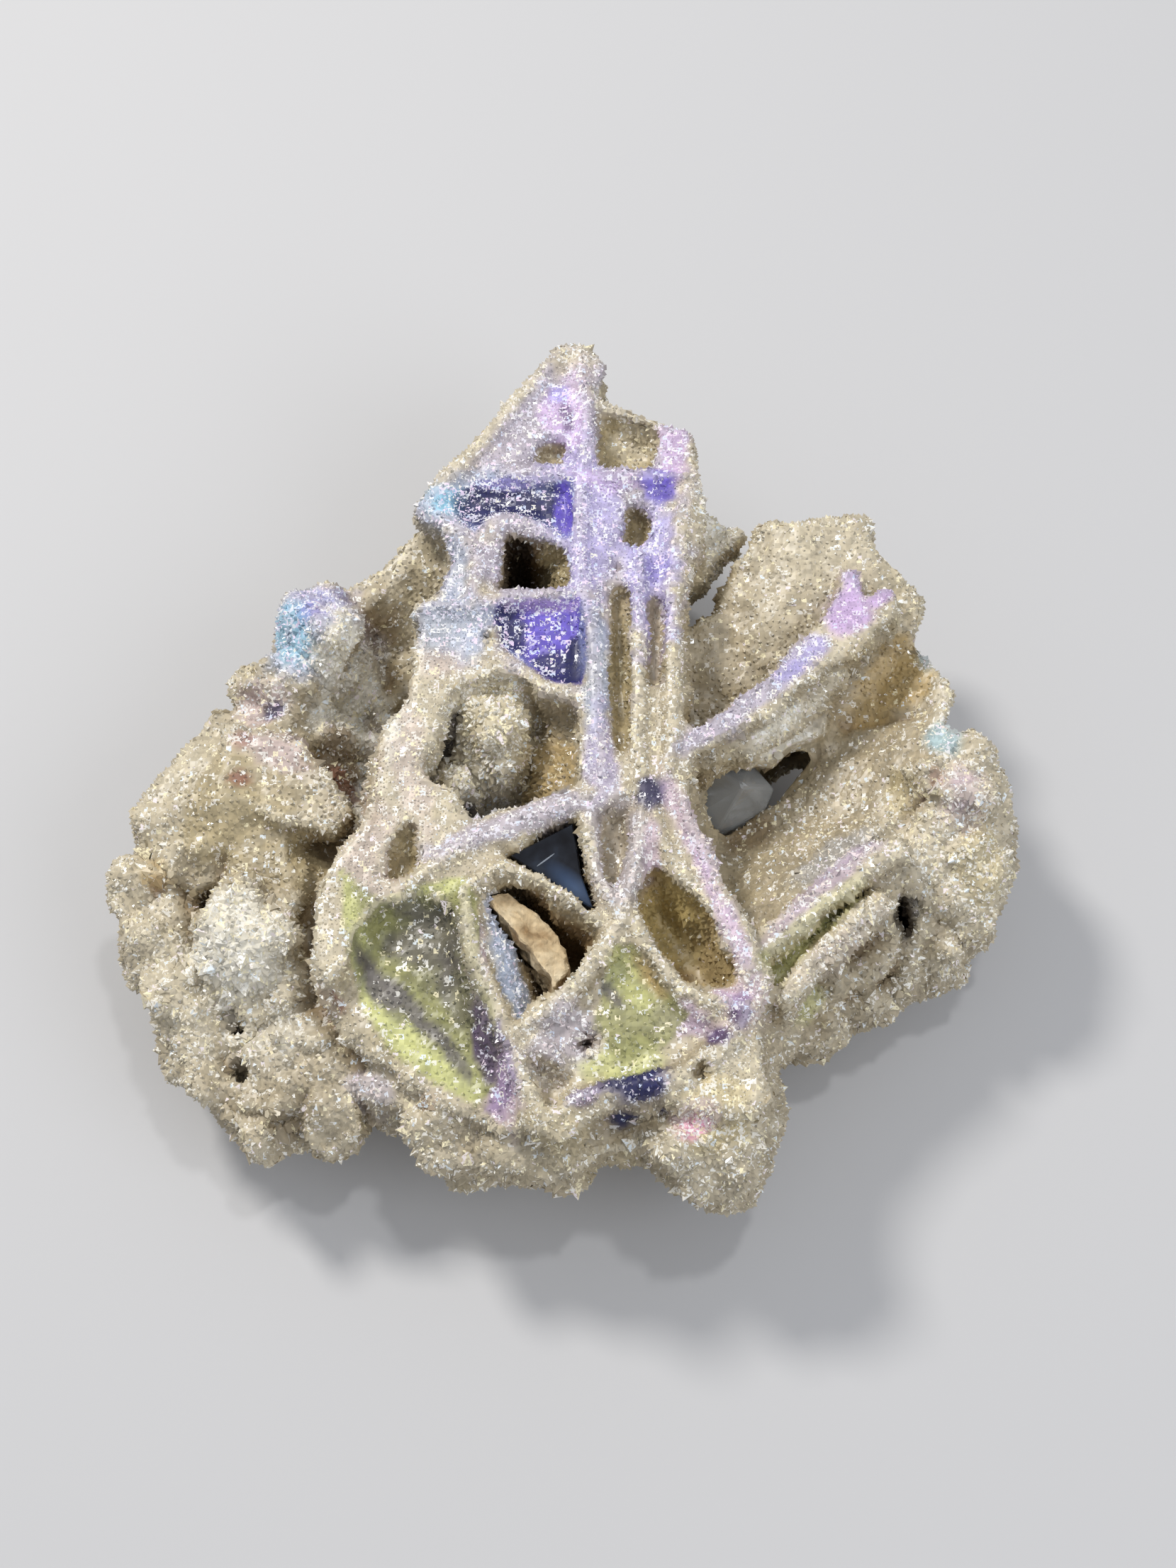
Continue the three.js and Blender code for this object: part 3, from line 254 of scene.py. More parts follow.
# The insides of the hollows, as TINTS, but with the greatest height that each reaches.
HOLLOW_TINTS = [
    (OCHRE, 7.4, 39, 4.4, 4.6, 0, 0.9, 0.07, 25.6),
    (CREAM, 8.6, 40.8, 3.4, 2, 0, 0.6, 0.12, 25.8),
    (OCHRE, -1.6, 37.6, 3.4, 2.6, 0, 0.85, 0.12, 25.9),
    (OCHRE, 8.6, 28.6, 2.2, 4, 0, 0.85, 0.14, 25.9),
    (OCHRE, 6.4, 11, 1.6, 11, 0, 0.9, 0.08, 26.9),
    (OCHRE, 10.2, 2, 1.2, 4, 0, 0.9, 0.08, 26.9),
    (OCHRE, 10.2, 14, 1.2, 6, 0, 0.85, 0.08, 26.9),
    # Painted shade on this hollow's left side, brown and black.
    (BROWN, -3, 23.6, 6, 5.4, 0, 0.9, 0.06, 25.6),
    (SHADE_BLACK, -6.2, 24, 3, 5.6, 0, 0.95, 0.01, 25.4),
    (OCHRE, 0, 23, 2.6, 4.6, 0, 0.95, 0.10, 26.6),
    (TAN, -5.4, 2, 9, 8, 0, 0.8, 0.14, 25.4),
    (CREAM, -7.6, 5.4, 4.8, 5.2, 0, 0.9, 0.42, 27),
    (GOLD, -7, 6, 3.4, 3.4, 0, 0.2, 0.4, 27),
    (OCHRE, -4.6, 4, 2.2, 3.4, 0, 0.5, 0.2, 26),
    (CREAM, -11.4, -0.6, 2.6, 3.4, 0, 0.8, 0.4, 26),
    (AMBER, -1.2, 0.4, 2.6, 4.6, 0, 0.75, 0.14, 26),
    (ICE, -4.6, -4.8, 5, 1.4, 22, 0.7, 0.34, 27),
    # Painted shade: black in the middle cavity's darkest corner and in a gap in it.
    (SHADE_BLACK, -9.4, -4.4, 3.6, 2.4, 20, 0.9, 0.02, 22),
    (SHADE_BLACK, -12.6, 6.6, 1.6, 2.6, 0, 0.9, 0.02, 24.6),
    # Painted shade in the hole at the right.
    (SHADE_BLACK, 36.8, -13.8, 1.4, 2.8, 0, 0.9, 0.02, 19),
    (OCHRE, -16.6, -10.4, 2, 4.6, -8, 0.85, 0.06, 25.6),
    (TAN, 5.9, -9.6, 1.8, 5, 0, 0.8, 0.08, 26.4),
    (AMBER, 13, -20, 5, 7, 24, 0.95, 0.03, 26.4),
    # Painted light: gold on the amber pocket's upper side.
    (GOLD, 11.8, -17.4, 3, 4, 24, 0.6, 0.04, 26.4),
    (OCHRE, 16, -22, 2, 5, 24, 0.5, 0.05, 26.4),
    # Painted shade: brown and black at the amber pocket's lower side.
    (BROWN, 11.6, -23, 3, 2.4, 0, 0.7, 0.04, 24),
    (SHADE_BLACK, 11.4, -23.6, 1.6, 1.4, 0, 0.5, 0.02, 22),
    # Painted shade: brown beside the flake and black below it.
    (BROWN, 1.4, -20, 3.4, 7, 24, 0.9, 0.03, 25),
    (SHADE_BLACK, -1.4, -26, 3, 2, 0, 0.8, 0.01, 22),
    (ICE, -6.6, -21.4, 2.2, 8, 16, 0.9, 0.34, 26.4),
    (CREAM, -0.4, -35.6, 2.6, 3, 0, 0.6, 0.3, 26),
]

# ---- Numbers for whole surfaces at once ----

# The name of the values in each kind of attribute.
FIELDS = {"FLOAT": "value", "FLOAT_VECTOR": "vector", "FLOAT_COLOR": "color"}


def read_rows(items, field, width, kind=np.float32):
    """One field of all a mesh's vertices or edges, as rows of numbers."""
    flat = np.empty(len(items) * width, kind)
    items.foreach_get(field, flat)
    return flat.reshape(-1, width)


def points_of(mesh):
    """The mesh's vertices in millimetres."""
    return read_rows(mesh.vertices, "co", 3).astype(float) / MM


def set_points(mesh, points):
    mesh.vertices.foreach_set("co", (points * MM).astype(np.float32).ravel())
    mesh.update()


def normals_of(mesh):
    return read_rows(mesh.vertex_normals, "vector", 3).astype(float)


def edges_of(mesh):
    return read_rows(mesh.edges, "vertices", 2, np.int32)


def store(mesh, name, values, kind="FLOAT", domain="POINT"):
    """Keeps a value for each vertex, or for each face, where the materials can read it."""
    layer = mesh.attributes.new(name, kind, domain)
    layer.data.foreach_set(FIELDS[kind], values.astype(np.float32).ravel())


def neighbour_mean(values, edges):
    """For each vertex the mean of a value over the vertices that it shares an edge with."""
    count = len(values)
    a, b = edges[:, 0], edges[:, 1]
    share = np.maximum(np.bincount(a, minlength=count) + np.bincount(b, minlength=count), 1)
    columns = values.reshape(count, -1)
    total = np.stack(
        [
            np.bincount(a, columns[b, i], count) + np.bincount(b, columns[a, i], count)
            for i in range(columns.shape[1])
        ],
        axis=1,
    )
    return (total / share[:, None]).reshape(values.shape)


def relax(values, edges, rounds):
    """Draws each vertex's value half of the way to its neighbours', again and again."""
    for _ in range(rounds):
        values = values + 0.5 * (neighbour_mean(values, edges) - values)
    return values


def scatter(cells, seed):
    """A fixed number from -1 to 1 for each whole-number cell, by mixing its bits."""
    x, y, z = (cells[:, i].astype(np.int64) for i in range(3))
    mixed = (x * 73856093) ^ (y * 19349663) ^ (z * 83492791) ^ (seed * 374761393)
    mixed = (mixed ^ (mixed >> 13)) * 1274126177
    mixed = mixed ^ (mixed >> 16)
    return (mixed & 0xFFFF) / 32767.5 - 1


def bumps(points, wave, seed):
    """Smooth noise from -1 to 1 over places in millimetres."""
    scaled = points / wave
    cell = np.floor(scaled).astype(np.int64)
    part = scaled - cell
    part = part * part * (3 - 2 * part)
    total = np.zeros(len(points))
    for corner in itertools.product((0, 1), repeat=3):
        weight = np.prod(np.where(np.array(corner) == 1, part, 1 - part), axis=1)
        total += weight * scatter(cell + np.array(corner), seed)
    return total


def noises(points, layers):
    """Several noises added up, each as (height, wavelength, seed)."""
    return sum(height * bumps(points, wave, seed) for height, wave, seed in layers)


def speckle(points, per_mm, seed):
    """A fixed number from -1 to 1 for each place, with no likeness to its neighbours."""
    return scatter(np.round(points * per_mm).astype(int), seed)


def ease(value, low, high):
    """From 0 at low to 1 at high, with soft ends."""
    t = np.clip((value - low) / (high - low), 0, 1)
    return t * t * (3 - 2 * t)


def dot_rows(a, b):
    return np.einsum("ij,ij->i", a, b)


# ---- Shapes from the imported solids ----

# How near two corners are one, in metres.
MERGE = 1e-6

# How far from the surface the look at the sky starts and how far it reaches, in millimetres.
SKY_START = 0.9
SKY_REACH = 16.0
SKY_RAYS = 12


def merged_copy(node):
    """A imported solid's mesh with its loose triangles joined."""
    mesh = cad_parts[node].data.copy()
    made = bmesh.new()
    made.from_mesh(mesh)
    bmesh.ops.remove_doubles(made, verts=made.verts, dist=MERGE)
    made.to_mesh(mesh)
    made.free()
    mesh.materials.clear()
    return mesh


def linked(name, mesh):
    piece = bpy.data.objects.new(name, mesh)
    bpy.context.scene.collection.objects.link(piece)
    return piece


def applied(piece):
    """Turns what the modifiers make into the piece's own mesh."""
    graph = bpy.context.evaluated_depsgraph_get()
    mesh = bpy.data.meshes.new_from_object(piece.evaluated_get(graph))
    piece.modifiers.clear()
    old = piece.data
    piece.data = mesh
    bpy.data.meshes.remove(old)
    return piece


def skinned(name, node, voxel):
    """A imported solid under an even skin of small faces."""
    piece = linked(name, merged_copy(node))
    remesh = piece.modifiers.new("skin", "REMESH")
    remesh.mode = "VOXEL"
    remesh.voxel_size = voxel * MM
    remesh.adaptivity = 0
    remesh.use_smooth_shade = False
    return applied(piece)


def one_body(piece):
    """Leaves only the piece's largest body, without the crumbs of the skinning."""
    mesh = piece.data
    edges = edges_of(mesh)
    label = np.arange(len(mesh.vertices))
    while True:
        low = label.copy()
        np.minimum.at(low, edges[:, 0], label[edges[:, 1]])
        np.minimum.at(low, edges[:, 1], label[edges[:, 0]])
        low = low[low]
        if np.array_equal(low, label):
            break
        label = low
    largest = np.bincount(label).argmax()
    made = bmesh.new()
    made.from_mesh(mesh)
    crumbs = [vertex for vertex, root in zip(made.verts, label) if root != largest]
    bmesh.ops.delete(made, geom=crumbs, context="VERTS")
    made.to_mesh(mesh)
    made.free()


def solid_tree(*nodes):
    """One tree of all these solids' faces, for rays in millimetres."""
    corners, faces = [], []
    for node in nodes:
        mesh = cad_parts[node].data
        start = len(corners)
        corners += [Vector(v.co) / MM for v in mesh.vertices]
        faces += [[start + i for i in f.vertices] for f in mesh.polygons]
    return BVHTree.FromPolygons(corners, faces)


def open_sky(points, normals, tree):
    """How much of its sky each place sees, from 0 deep in a hollow to 1."""
    golden = math.pi * (3 - math.sqrt(5))
    local = []
    for i in range(SKY_RAYS):
        up = math.sqrt(1 - (i + 0.5) / SKY_RAYS)
        out = math.sqrt(1 - up * up)
        local.append((out * math.cos(golden * i), out * math.sin(golden * i), up))
    seen = np.zeros(len(points))
    for i, (point, normal) in enumerate(zip(points, normals)):
        along = Vector(normal)
        across = along.orthogonal().normalized()
        third = along.cross(across)
        start = Vector(point) + along * SKY_START
        free = 0
        for a, b, c in local:
            if tree.ray_cast(start, across * a + third * b + along * c, SKY_REACH)[0] is None:
                free += 1
        seen[i] = free / SKY_RAYS
    return seen


# ---- The crust ----

# The mesh size of the crust's skin.
SKIN = 0.565

# Rounds of smoothing: of the skin, and of the nearer and the broader form round each vertex.
SKIN_ROUNDS = 2
NEAR_ROUNDS = 6
BROAD_ROUNDS = 54
SKY_ROUNDS = 3

# One sharp tip on the upper-left lobe is worn down to its neighbours, (x, y, reach, height left).
WORN_TIP = (-33.4, 14.1, 2.7, 22.2)

# How high over the arch of crests the ribbed face begins, and from where on it is whole.
FACE_BAND = (-2.6, -1.2)
# The relief grows from nothing between these heights, so the crust rests as flat as the solid.
FOOT = (1.5, 4)

# The relief's noises, (height, wavelength, seed): all over, on the walls, and the finer ones.
SWELLS = ((0.75, 4.6, 1), (0.5, 2.2, 2))
WALL_SWELLS = ((0.5, 9, 5),)
GRAIN = ((0.26, 1.3, 3),)
# The finest relief, (height, how many to a millimetre, seed).
DUST = (0.12, 20, 4)

# The gap past the clear crystal, (x, y, half length, half width, turn in degrees), the greatest
# height of its sides, and how far the crust is drawn in there.
GAP = (25.2, 4.4, 5.4, 2.4, 48)
GAP_TOP = 21.4
DRAWN_IN = 0.6

# Where the druse is coarse, [x, y, half length, half width, how much coarser].
COARSE = [
    (-33, -19, 9, 8, 0.7), (-41, -22, 5, 9, 0.45), (-29, -33, 8, 6, 0.4), (-42, -9, 5, 5, 0.4),
    (-22, 5, 4, 9, 0.5), (-27, 15, 5, 6, 0.25), (14, -40, 8, 6, 0.35), (-4, -41, 9, 4, 0.3),
    (42, -6, 7, 9, 0.4), (36, -20, 9, 6, 0.3), (-6.4, 3, 7, 7, 0.8),
]

# Mounds of the lobes, (x, y, radius, height).
MOUNDS = [
    (-33, -20.6, 6.4, 1.7), (-33.4, -10.2, 3.6, 1.2), (-38, -7.6, 2.2, 0.8), (-42.9, -17.4, 3, 1.2),
    (-41.6, -22.6, 3, 1.2), (-38.4, -27.8, 2.8, 1.1), (-36.9, -32.4, 2.6, 1.0), (-30.6, -29.6, 3.4, 1.2),
    (-29.1, -33.2, 2.8, 1.1), (-24.7, -30.4, 2.8, 1.1), (-31.3, -38, 2.3, 1.0), (-24.6, -35.4, 2.6, 1.3),
    (-46.8, -9.8, 2.6, 1.2), (-44.6, -4, 2.4, 0.8), (-19.6, -34.2, 2.4, 0.8), (-13.6, -38, 2.6, 1.0),
    (-6, -40.6, 2.6, 1.0), (0.6, -41, 2.4, 0.9), (-25, 8, 2.2, 1.2), (-21.6, 4, 2, 1.0),
    (-20.4, 13, 2.2, 1.2), (-29.4, 19.6, 3, 0.8), (-24.6, 15.8, 3, 0.8), (-32, 13.6, 2.2, 0.9),
    (45.2, 2.6, 2.6, 1.2), (43.6, -8, 2.8, 1.3), (44.6, -3, 2.8, 1.0), (45.4, -11.4, 2.4, 1.0),
    (41.6, -12.8, 2.2, 1.0), (35, -17.6, 3, 1.4), (41.4, -17.8, 2.4, 1.2), (33.2, -20, 2.4, 1.0),
    (33, -23, 2.2, 1.2), (29.6, -21.8, 2, 1.0), (28.4, -24.9, 2.2, 1.2), (12.6, -41, 2.2, 1.0),
    (18.4, -42, 2.6, 1.1), (20.6, -37.4, 2.2, 0.8), (39, 5.4, 2.4, 0.7), (-7.2, 5.6, 3.4, 2.0),
    (-8.8, 2.6, 2.2, 1.2), (-11.6, 0.2, 1.8, 1.0), (-22.6, 1, 1.8, 1.1), (-21.2, 8.6, 2, 1.2),
]
# How much of those heights the mounds keep.
MOUND_SHARE = 0.95
# The creases between them, [width, depth, how much painted shade browns them, (x, y)...].
CREASES = [
    [1.0, 1.7, 0.8, (-39.1, -12.7), (-39.2, -16.7), (-37.3, -22.7), (-35.1, -25.5), (-34.3, -30.5)],
    [0.9, 1.1, 0.7, (-26.2, -23.8), (-23.8, -26.6), (-21.4, -30.2), (-20.9, -31.6)],
    [0.9, 1.5, 0.9, (-35.5, -35), (-32.7, -36), (-30.3, -36.5), (-27.7, -37.4)],
    [0.8, 1.1, 0.7, (-45.1, -7.5), (-42.6, -10.4), (-41, -11.4), (-37.6, -14.5)],
    [1.0, 1.5, 0.9, (-37.6, -14.5), (-36.6, -10.6), (-36.6, -8.6)],
    [0.8, 1.3, 0.7, (-29.1, -38.5), (-27.3, -36.6), (-26.3, -34.1)],
    [0.9, 1.1, 0.6, (-26.2, -23.8), (-27.7, -26.2), (-32.4, -27.4)],
    [0.8, 1.0, 0.4, (-46.4, -14), (-44.5, -12.9), (-42.8, -11.3)],
    [1.0, 1.0, 0.5, (-26, -9), (-25.8, -14), (-26.6, -19.5), (-26.1, -23.8)],
    [0.8, 1.1, 0.9, (31.6, 8.7), (35.4, 8.8), (38.5, 8.4)],
    [0.7, 1.3, 0.7, (43.1, 3.4), (41.2, 0.5), (39.3, -2.7), (37.6, -3.1)],
    [0.5, 0.7, 0.4, (37.1, -1.6), (37.1, -4.4), (36.5, -7.1)],
    [0.8, 1.5, 0.8, (38.1, -13.9), (40.3, -15), (42.6, -16.3)],
    [0.8, 1.3, 0.7, (37.5, -14), (36.6, -17.7), (35.7, -21.1), (35.7, -22.4)],
    [0.8, 1.1, 0.7, (38.5, -20.1), (39.4, -17.7), (40.6, -16.1)],
    [0.7, 1.2, 0.7, (27.5, -22.1), (29.7, -20), (32.3, -18.2), (34.2, -16.4)],
    [0.8, 1.3, 0.8, (30.9, -25.5), (31.1, -23.2), (33.7, -21.3), (35.7, -21.1)],
    [0.6, 0.8, 0.3, (41.8, -10.3), (41.2, -7.7), (43.1, -5.8), (45.8, -4.8)],
    [0.8, 1.2, 0.9, (-19.6, -5), (-20.6, 0), (-22.4, 4), (-22.6, 9), (-19.4, 14), (-20.6, 20)],
    [0.7, 1.0, 0.8, (-26.4, 5), (-22.6, 6.4), (-18.8, 5.6)],
    [0.7, 1.0, 0.8, (-25.4, 12), (-22, 10.6), (-18.4, 12)],
]

# What is known of each of the crust's vertices before it gets its colours.
Ground = namedtuple("Ground", "points normals edges sky convex on_face sharp")


def crest_over(points):
    """The height of the arch of rib crests over each place."""
    x = points[:, 0] - FACE_MIDDLE[0]
    y = points[:, 1] - FACE_MIDDLE[1]
    return CREST - CREST_FALL[1] * (y - CREST_MIDDLE) ** 2 - CREST_FALL[0] * x * x


def away_from(points, x, y, long, wide, turn=0):
    """How far each place lies from the middle of an oval, 1 at its edge."""
    dx = points[:, 0] - x - FACE_MIDDLE[0]
    dy = points[:, 1] - y - FACE_MIDDLE[1]
    c, s = math.cos(math.radians(turn)), math.sin(math.radians(turn))
    return np.hypot((c * dx + s * dy) / long, (-s * dx + c * dy) / wide)


def off_path(points, path):
    """How far each place lies from a path, seen from above."""
    spots = points[:, :2] - FACE_MIDDLE
    nearest = np.full(len(points), np.inf)
    for start, end in zip(np.array(path[:-1]), np.array(path[1:])):
        step = end - start
        along = np.clip((spots - start) @ step / (step @ step), 0, 1)
        nearest = np.minimum(nearest, np.linalg.norm(spots - start - along[:, None] * step, axis=1))
    return nearest


def depth_in(points, outline):
    """How far each place lies inside an outline, less than 0 outside it."""
    x, y = (points[:, :2] - FACE_MIDDLE).T
    inside = np.zeros(len(points), bool)
    closed = outline + outline[:1]
    for (ax, ay), (bx, by) in zip(closed, closed[1:]):
        crosses = (ay > y) != (by > y)
        inside ^= crosses & (x < ax + (y - ay) / (by - ay + 1e-9) * (bx - ax))
    return np.where(inside, 1, -1) * off_path(points, closed)


def creased(points, normals):
    """The mounds and creases of the lobes, as (height, the painted shade of the creases)."""
    height = np.zeros(len(points))
    crease_shade = np.zeros(len(points))
    for x, y, radius, rise in MOUNDS:
        dome = np.clip(1 - away_from(points, x, y, radius, radius) ** 2, 0, 1) ** 1.4
        height += MOUND_SHARE * rise * dome
    for width, depth, shade_strength, *path in CREASES:
        wander = off_path(points, path) + 0.5 * bumps(points, 2.4, 7)
        crease = np.exp(-((wander / width) ** 2)) * ease(normals[:, 2], -0.1, 0.5)
        height -= depth * crease
        crease_shade = np.maximum(crease_shade, shade_strength * crease)
    return height * ease(normals[:, 2], -0.3, 0.5), crease_shade


def coarseness(points):
    """How much coarser than elsewhere the druse is at each place."""
    coarse = np.zeros(len(points))
    for x, y, long, wide, more in COARSE:
        coarse = np.maximum(coarse, more * ease(1.3 - away_from(points, x, y, long, wide), 0, 0.6))
    return coarse


def gap_sides(points):
    """1 on the thin sides of the gap past the clear crystal."""
    return ease(1.3 - away_from(points, *GAP), 0, 0.4) * ease(GAP_TOP - points[:, 2], 0, 1)


def worn(points):
    """The places with the one sharp tip worn down."""
    x, y, reach, top = WORN_TIP
    near_tip = ease(1.4 - away_from(points, x, y, reach, reach), 0, 0.4)
    lowered = points.copy()
    lowered[:, 2] -= 0.85 * near_tip * np.maximum(points[:, 2] - top, 0)
    return lowered


def roughness_of(points, normals, on_face):
    """The crust's relief over the solid, as (height, the painted shade of its creases)."""
    relief, crease_shade = creased(points, normals)
    wall = ease(0.5 - normals[:, 2], 0, 0.6)
    swell = noises(points, SWELLS) * (0.6 + 0.8 * coarseness(points) + 0.5 * wall)
    swell = swell + wall * noises(points, WALL_SWELLS) + relief
    grain = noises(points, GRAIN) + DUST[0] * speckle(points, *DUST[1:])
    height = swell * (1 - 0.86 * on_face) + grain * (1 - 0.5 * on_face)
    narrow = gap_sides(points)
    return height * (1 - narrow) - DRAWN_IN * narrow, crease_shade


def make_crust():
    """The crust, and what is known of its vertices."""
    crust = skinned("druse_crust", "druzy_boxwork", SKIN)
    one_body(crust)
    mesh = crust.data
    edges = edges_of(mesh)
    points = worn(relax(points_of(mesh), edges, SKIN_ROUNDS))
    set_points(mesh, points)
    normals = normals_of(mesh)
    tree = solid_tree("druzy_boxwork", "sphalerite_pane", "matrix_flake")
    sky = relax(open_sky(points, normals, tree), edges, SKY_ROUNDS)
    near = relax(points, edges, NEAR_ROUNDS)
    broad = relax(near, edges, BROAD_ROUNDS)
    sharp = dot_rows(points - near, normals)
    convex = 0.45 * dot_rows(points - broad, normals)
    on_face = ease(points[:, 2] - crest_over(points), *FACE_BAND) * ease(normals[:, 2], 0.3, 0.7)
    raised = ease(points[:, 2], *FOOT)
    height, crease_shade = roughness_of(points, normals, on_face)
    points = points + normals * (height * raised)[:, None]
    set_points(mesh, points)
    # The creases' painted shade lowers the convexity, so that the colours brown them.
    convex = convex + (0.3 * height - 0.5 * crease_shade) * (1 - on_face)
    return crust, Ground(points, normals, edges, sky, convex, on_face, sharp)


# ---- The crust's colours ----

# How far a tint reaches for the size of its oval, and how wide its soft border is.
TINT_REACH = 1.18
TINT_BORDER = 0.55
HOLLOW_REACH = 1.25
HOLLOW_BORDER = 0.3

# The noises, (height, wavelength, seed), that make the tints' borders ragged, that turn the druse
# from warm to cool, and that mottle every finish.
RAGGED = ((0.34, 2.6, 21), (0.2, 1.0, 22))
WARMTH = ((0.5, 9, 11), (0.35, 3.4, 12))
MOTTLE = ((0.14, 1.6, 31),)


class Coat:
    """The colours laid on a ground so far, its share of facets with painted glints and its share of
    coating.
    """

    def __init__(self, ground, finish, bright):
        self.colour = np.tile(np.array(finish), (len(ground.points), 1))
        self.bright = bright
        self.coating = np.zeros(len(ground.points))

    def lay(self, finish, weight, share=None):
        """Lays a finish over what is there, as thick as the weight from 0 to 1."""
        self.colour = self.colour + weight[:, None] * (np.array(finish) - self.colour)
        self.coating = self.coating + weight * ((finish in COATED) - self.coating)
        if share is not None:
            self.bright = self.bright + weight * (share - self.bright)


def lay_druse(coat, ground):
    """The buff druse, with painted shade that makes it darker and browner in hollows and creases, and
    painted light that makes it cream where it lies open.
    """
    points, sky = ground.points, ground.sky
    warm = noises(points, WARMTH)
    # Painted shade: ochre, then brown, then near-black, the less of its sky a place sees.
    coat.lay(OCHRE, ease(0.62 - sky, 0, 0.4) * 0.55)
    coat.lay(BROWN, ease(0.34 - sky, 0, 0.28) * 0.6)
    coat.lay(SHADE_BLACK, ease(0.12 - sky, 0, 0.12) * 0.8)
    # Painted light: cream where a place lies open to the sky and faces up.
    coat.lay(CREAM, ease(sky + 0.16 * warm, 0.72, 1.0) * ease(ground.normals[:, 2], -0.2, 0.6) * 0.45)
    # Brown patches at random, stronger where less sky is seen: partly the druse's own tone, partly painted
    # shade.
    coat.lay(BROWN, ease(bumps(points, 5, 13), 0.25, 0.7) * ease(0.7 - sky, 0, 0.3) * 0.3)
    # Painted shade: the creases are browned.
    creases = ease(-ground.convex - 0.2 * ease(warm, -0.4, 0.4), 0.1, 0.8)
    coat.lay(BROWN, creases * (1 - ground.on_face) * 0.7)
    coat.lay(GOLD, ease(warm, 0.15, 0.7) * 0.25)
    coat.lay(TAN, ease(-warm, 0.2, 0.8) * 0.4)


def lay_places(coat, ground, ragged):
    """The tints of TINTS, PANELS and HOLLOW_TINTS, with ragged borders."""
    points, up = ground.points, ground.normals[:, 2]
    height = points[:, 2]

    def oval(x, y, long, wide, turn):
        return ease(TINT_REACH - away_from(points, x, y, long, wide, turn) + ragged, 0, TINT_BORDER)

    for finish, x, y, long, wide, turn, strength, share, lowest in TINTS:
        weight = oval(x, y, long, wide, turn)
        weight *= ease(height, lowest - 1.5, lowest + 0.5) * ease(up, -0.2, 0.35)
        coat.lay(finish, weight * strength, share)
    for outline, lowest, *layers in PANELS:
        panel = ease(depth_in(points, outline) + 0.5 * ragged, -0.2, 0.3)
        panel *= ease(height, lowest - 1.5, lowest + 0.5) * ease(up, 0, 0.4)
        for finish, x, y, long, wide, turn, strength, share in layers:
            coat.lay(finish, panel * oval(x, y, long, wide, turn) * strength, share)
    for finish, x, y, long, wide, turn, strength, share, highest in HOLLOW_TINTS:
        away = away_from(points, x, y, long, wide, turn)
        weight = ease(HOLLOW_REACH - away + 0.5 * ragged, 0, HOLLOW_BORDER)
        weight *= ease(highest - height, -0.6, 0.4) * ease(height, 3, 6) * strength
        coat.lay(finish, weight, share)


def tinted(ground):
    """For each vertex its finish, its share of facets with painted glints and its share of coating."""
    points, sky = ground.points, ground.sky
    # Painted glints: more facets are whitened where the ground is open and convex, where the light falls
    # best.
    bright = 0.06 + 0.07 * ease(sky, 0.35, 0.9) + 0.09 * ease(ground.convex, 0.1, 0.8)
    bright = bright + ground.on_face * (0.26 - bright) * 0.6
    coat = Coat(ground, TAN, bright)
    lay_druse(coat, ground)
    lay_places(coat, ground, noises(points, RAGGED))
    # Sharp edges are paler, apart from those of the dark finishes: partly the pale crystals of the rims,
    # partly painted light where the edges stand open to the sky.
    pale = ease(ground.sharp, 0.04, 0.13) * ease(sky, 0.2, 0.5) * ease(points[:, 2], 5, 12)
    pale *= ease(coat.colour.mean(axis=1), 0.03, 0.14)
    coat.lay(CREAM, pale * 0.6 * (1 - coat.coating))
    coat.lay(WEB, pale * 0.6 * coat.coating)
    shade = 1 + noises(points, MOTTLE) + 0.08 * speckle(points, 8, 32)
    colour = np.clip(coat.colour * shade[:, None], 0.002, 1)
    return colour, np.clip(coat.bright, 0, 1), np.clip(coat.coating, 0, 1)


def ground_lie(mesh, ground):
    """The way that each place of the ground faces, for the points' shading. It is short under a lip."""
    lie = relax(normals_of(mesh), ground.edges, 1)
    # Points that stand over the far walls catch the light from above.
    lie[:, 2] += 0.6 * ease(0.6 - lie[:, 2], 0, 0.6)
    lie /= np.maximum(np.linalg.norm(lie, axis=1), 1e-6)[:, None]
    return lie * (0.2 + 0.8 * ease(ground.normals[:, 2], -0.4, 0.25))[:, None]


# ---- Materials ----

QUARTZ_IOR = 1.55
PANE_IOR = 1.6

# How far a dull facet's shading leans to the ground's, and how far one with a painted glint does.
DULL_LEAN = 0.66
LIT_LEAN = 0.1

# The roughness of dull facets and of those with painted glints.
DULL = 0.38
POLISHED = 0.16

# How many noise waves there are to a metre in the druse's grain and flecks, in the cloud and the
# layers of the held crystals, and in the flake's grain and patches.
GRAIN_WAVES = 1400
FLECK_WAVES = 3400
CLOUD_WAVES = 420
LAYER_WAVES = 700
FLAKE_WAVES = 1500
PATCH_WAVES = 330
# Painted glints go on up to this many times their share of facets, and only where the flecks are above
# this level.
FLECKED_SHARE = 1.5
FLECK_LEVEL = 0.47
# The least and the greatest tone from facet to facet and within one, and strength of a painted glint.
FACET_TONES = (0.84, 1.16)
GRAIN_TONES = (0.75, 1.25)
FLASHES = (0.62, 0.95)

# The painted glints' colours on bare quartz and on the coating, (from which share of them on, colour).
WARM_FLASHES = (
    (0.0, (0.96, 0.94, 0.88)), (0.5, (0.95, 0.87, 0.60)), (0.74, (0.92, 0.84, 0.88)),
    (0.82, (0.82, 0.90, 0.96)), (0.9, (0.97, 0.96, 0.90)),
)
COOL_FLASHES = (
    (0.0, (0.86, 0.84, 0.98)), (0.35, (0.95, 0.95, 0.98)), (0.62, (0.90, 0.74, 0.94)),
    (0.8, (0.70, 0.78, 0.97)), (0.92, (0.93, 0.90, 0.80)),
)

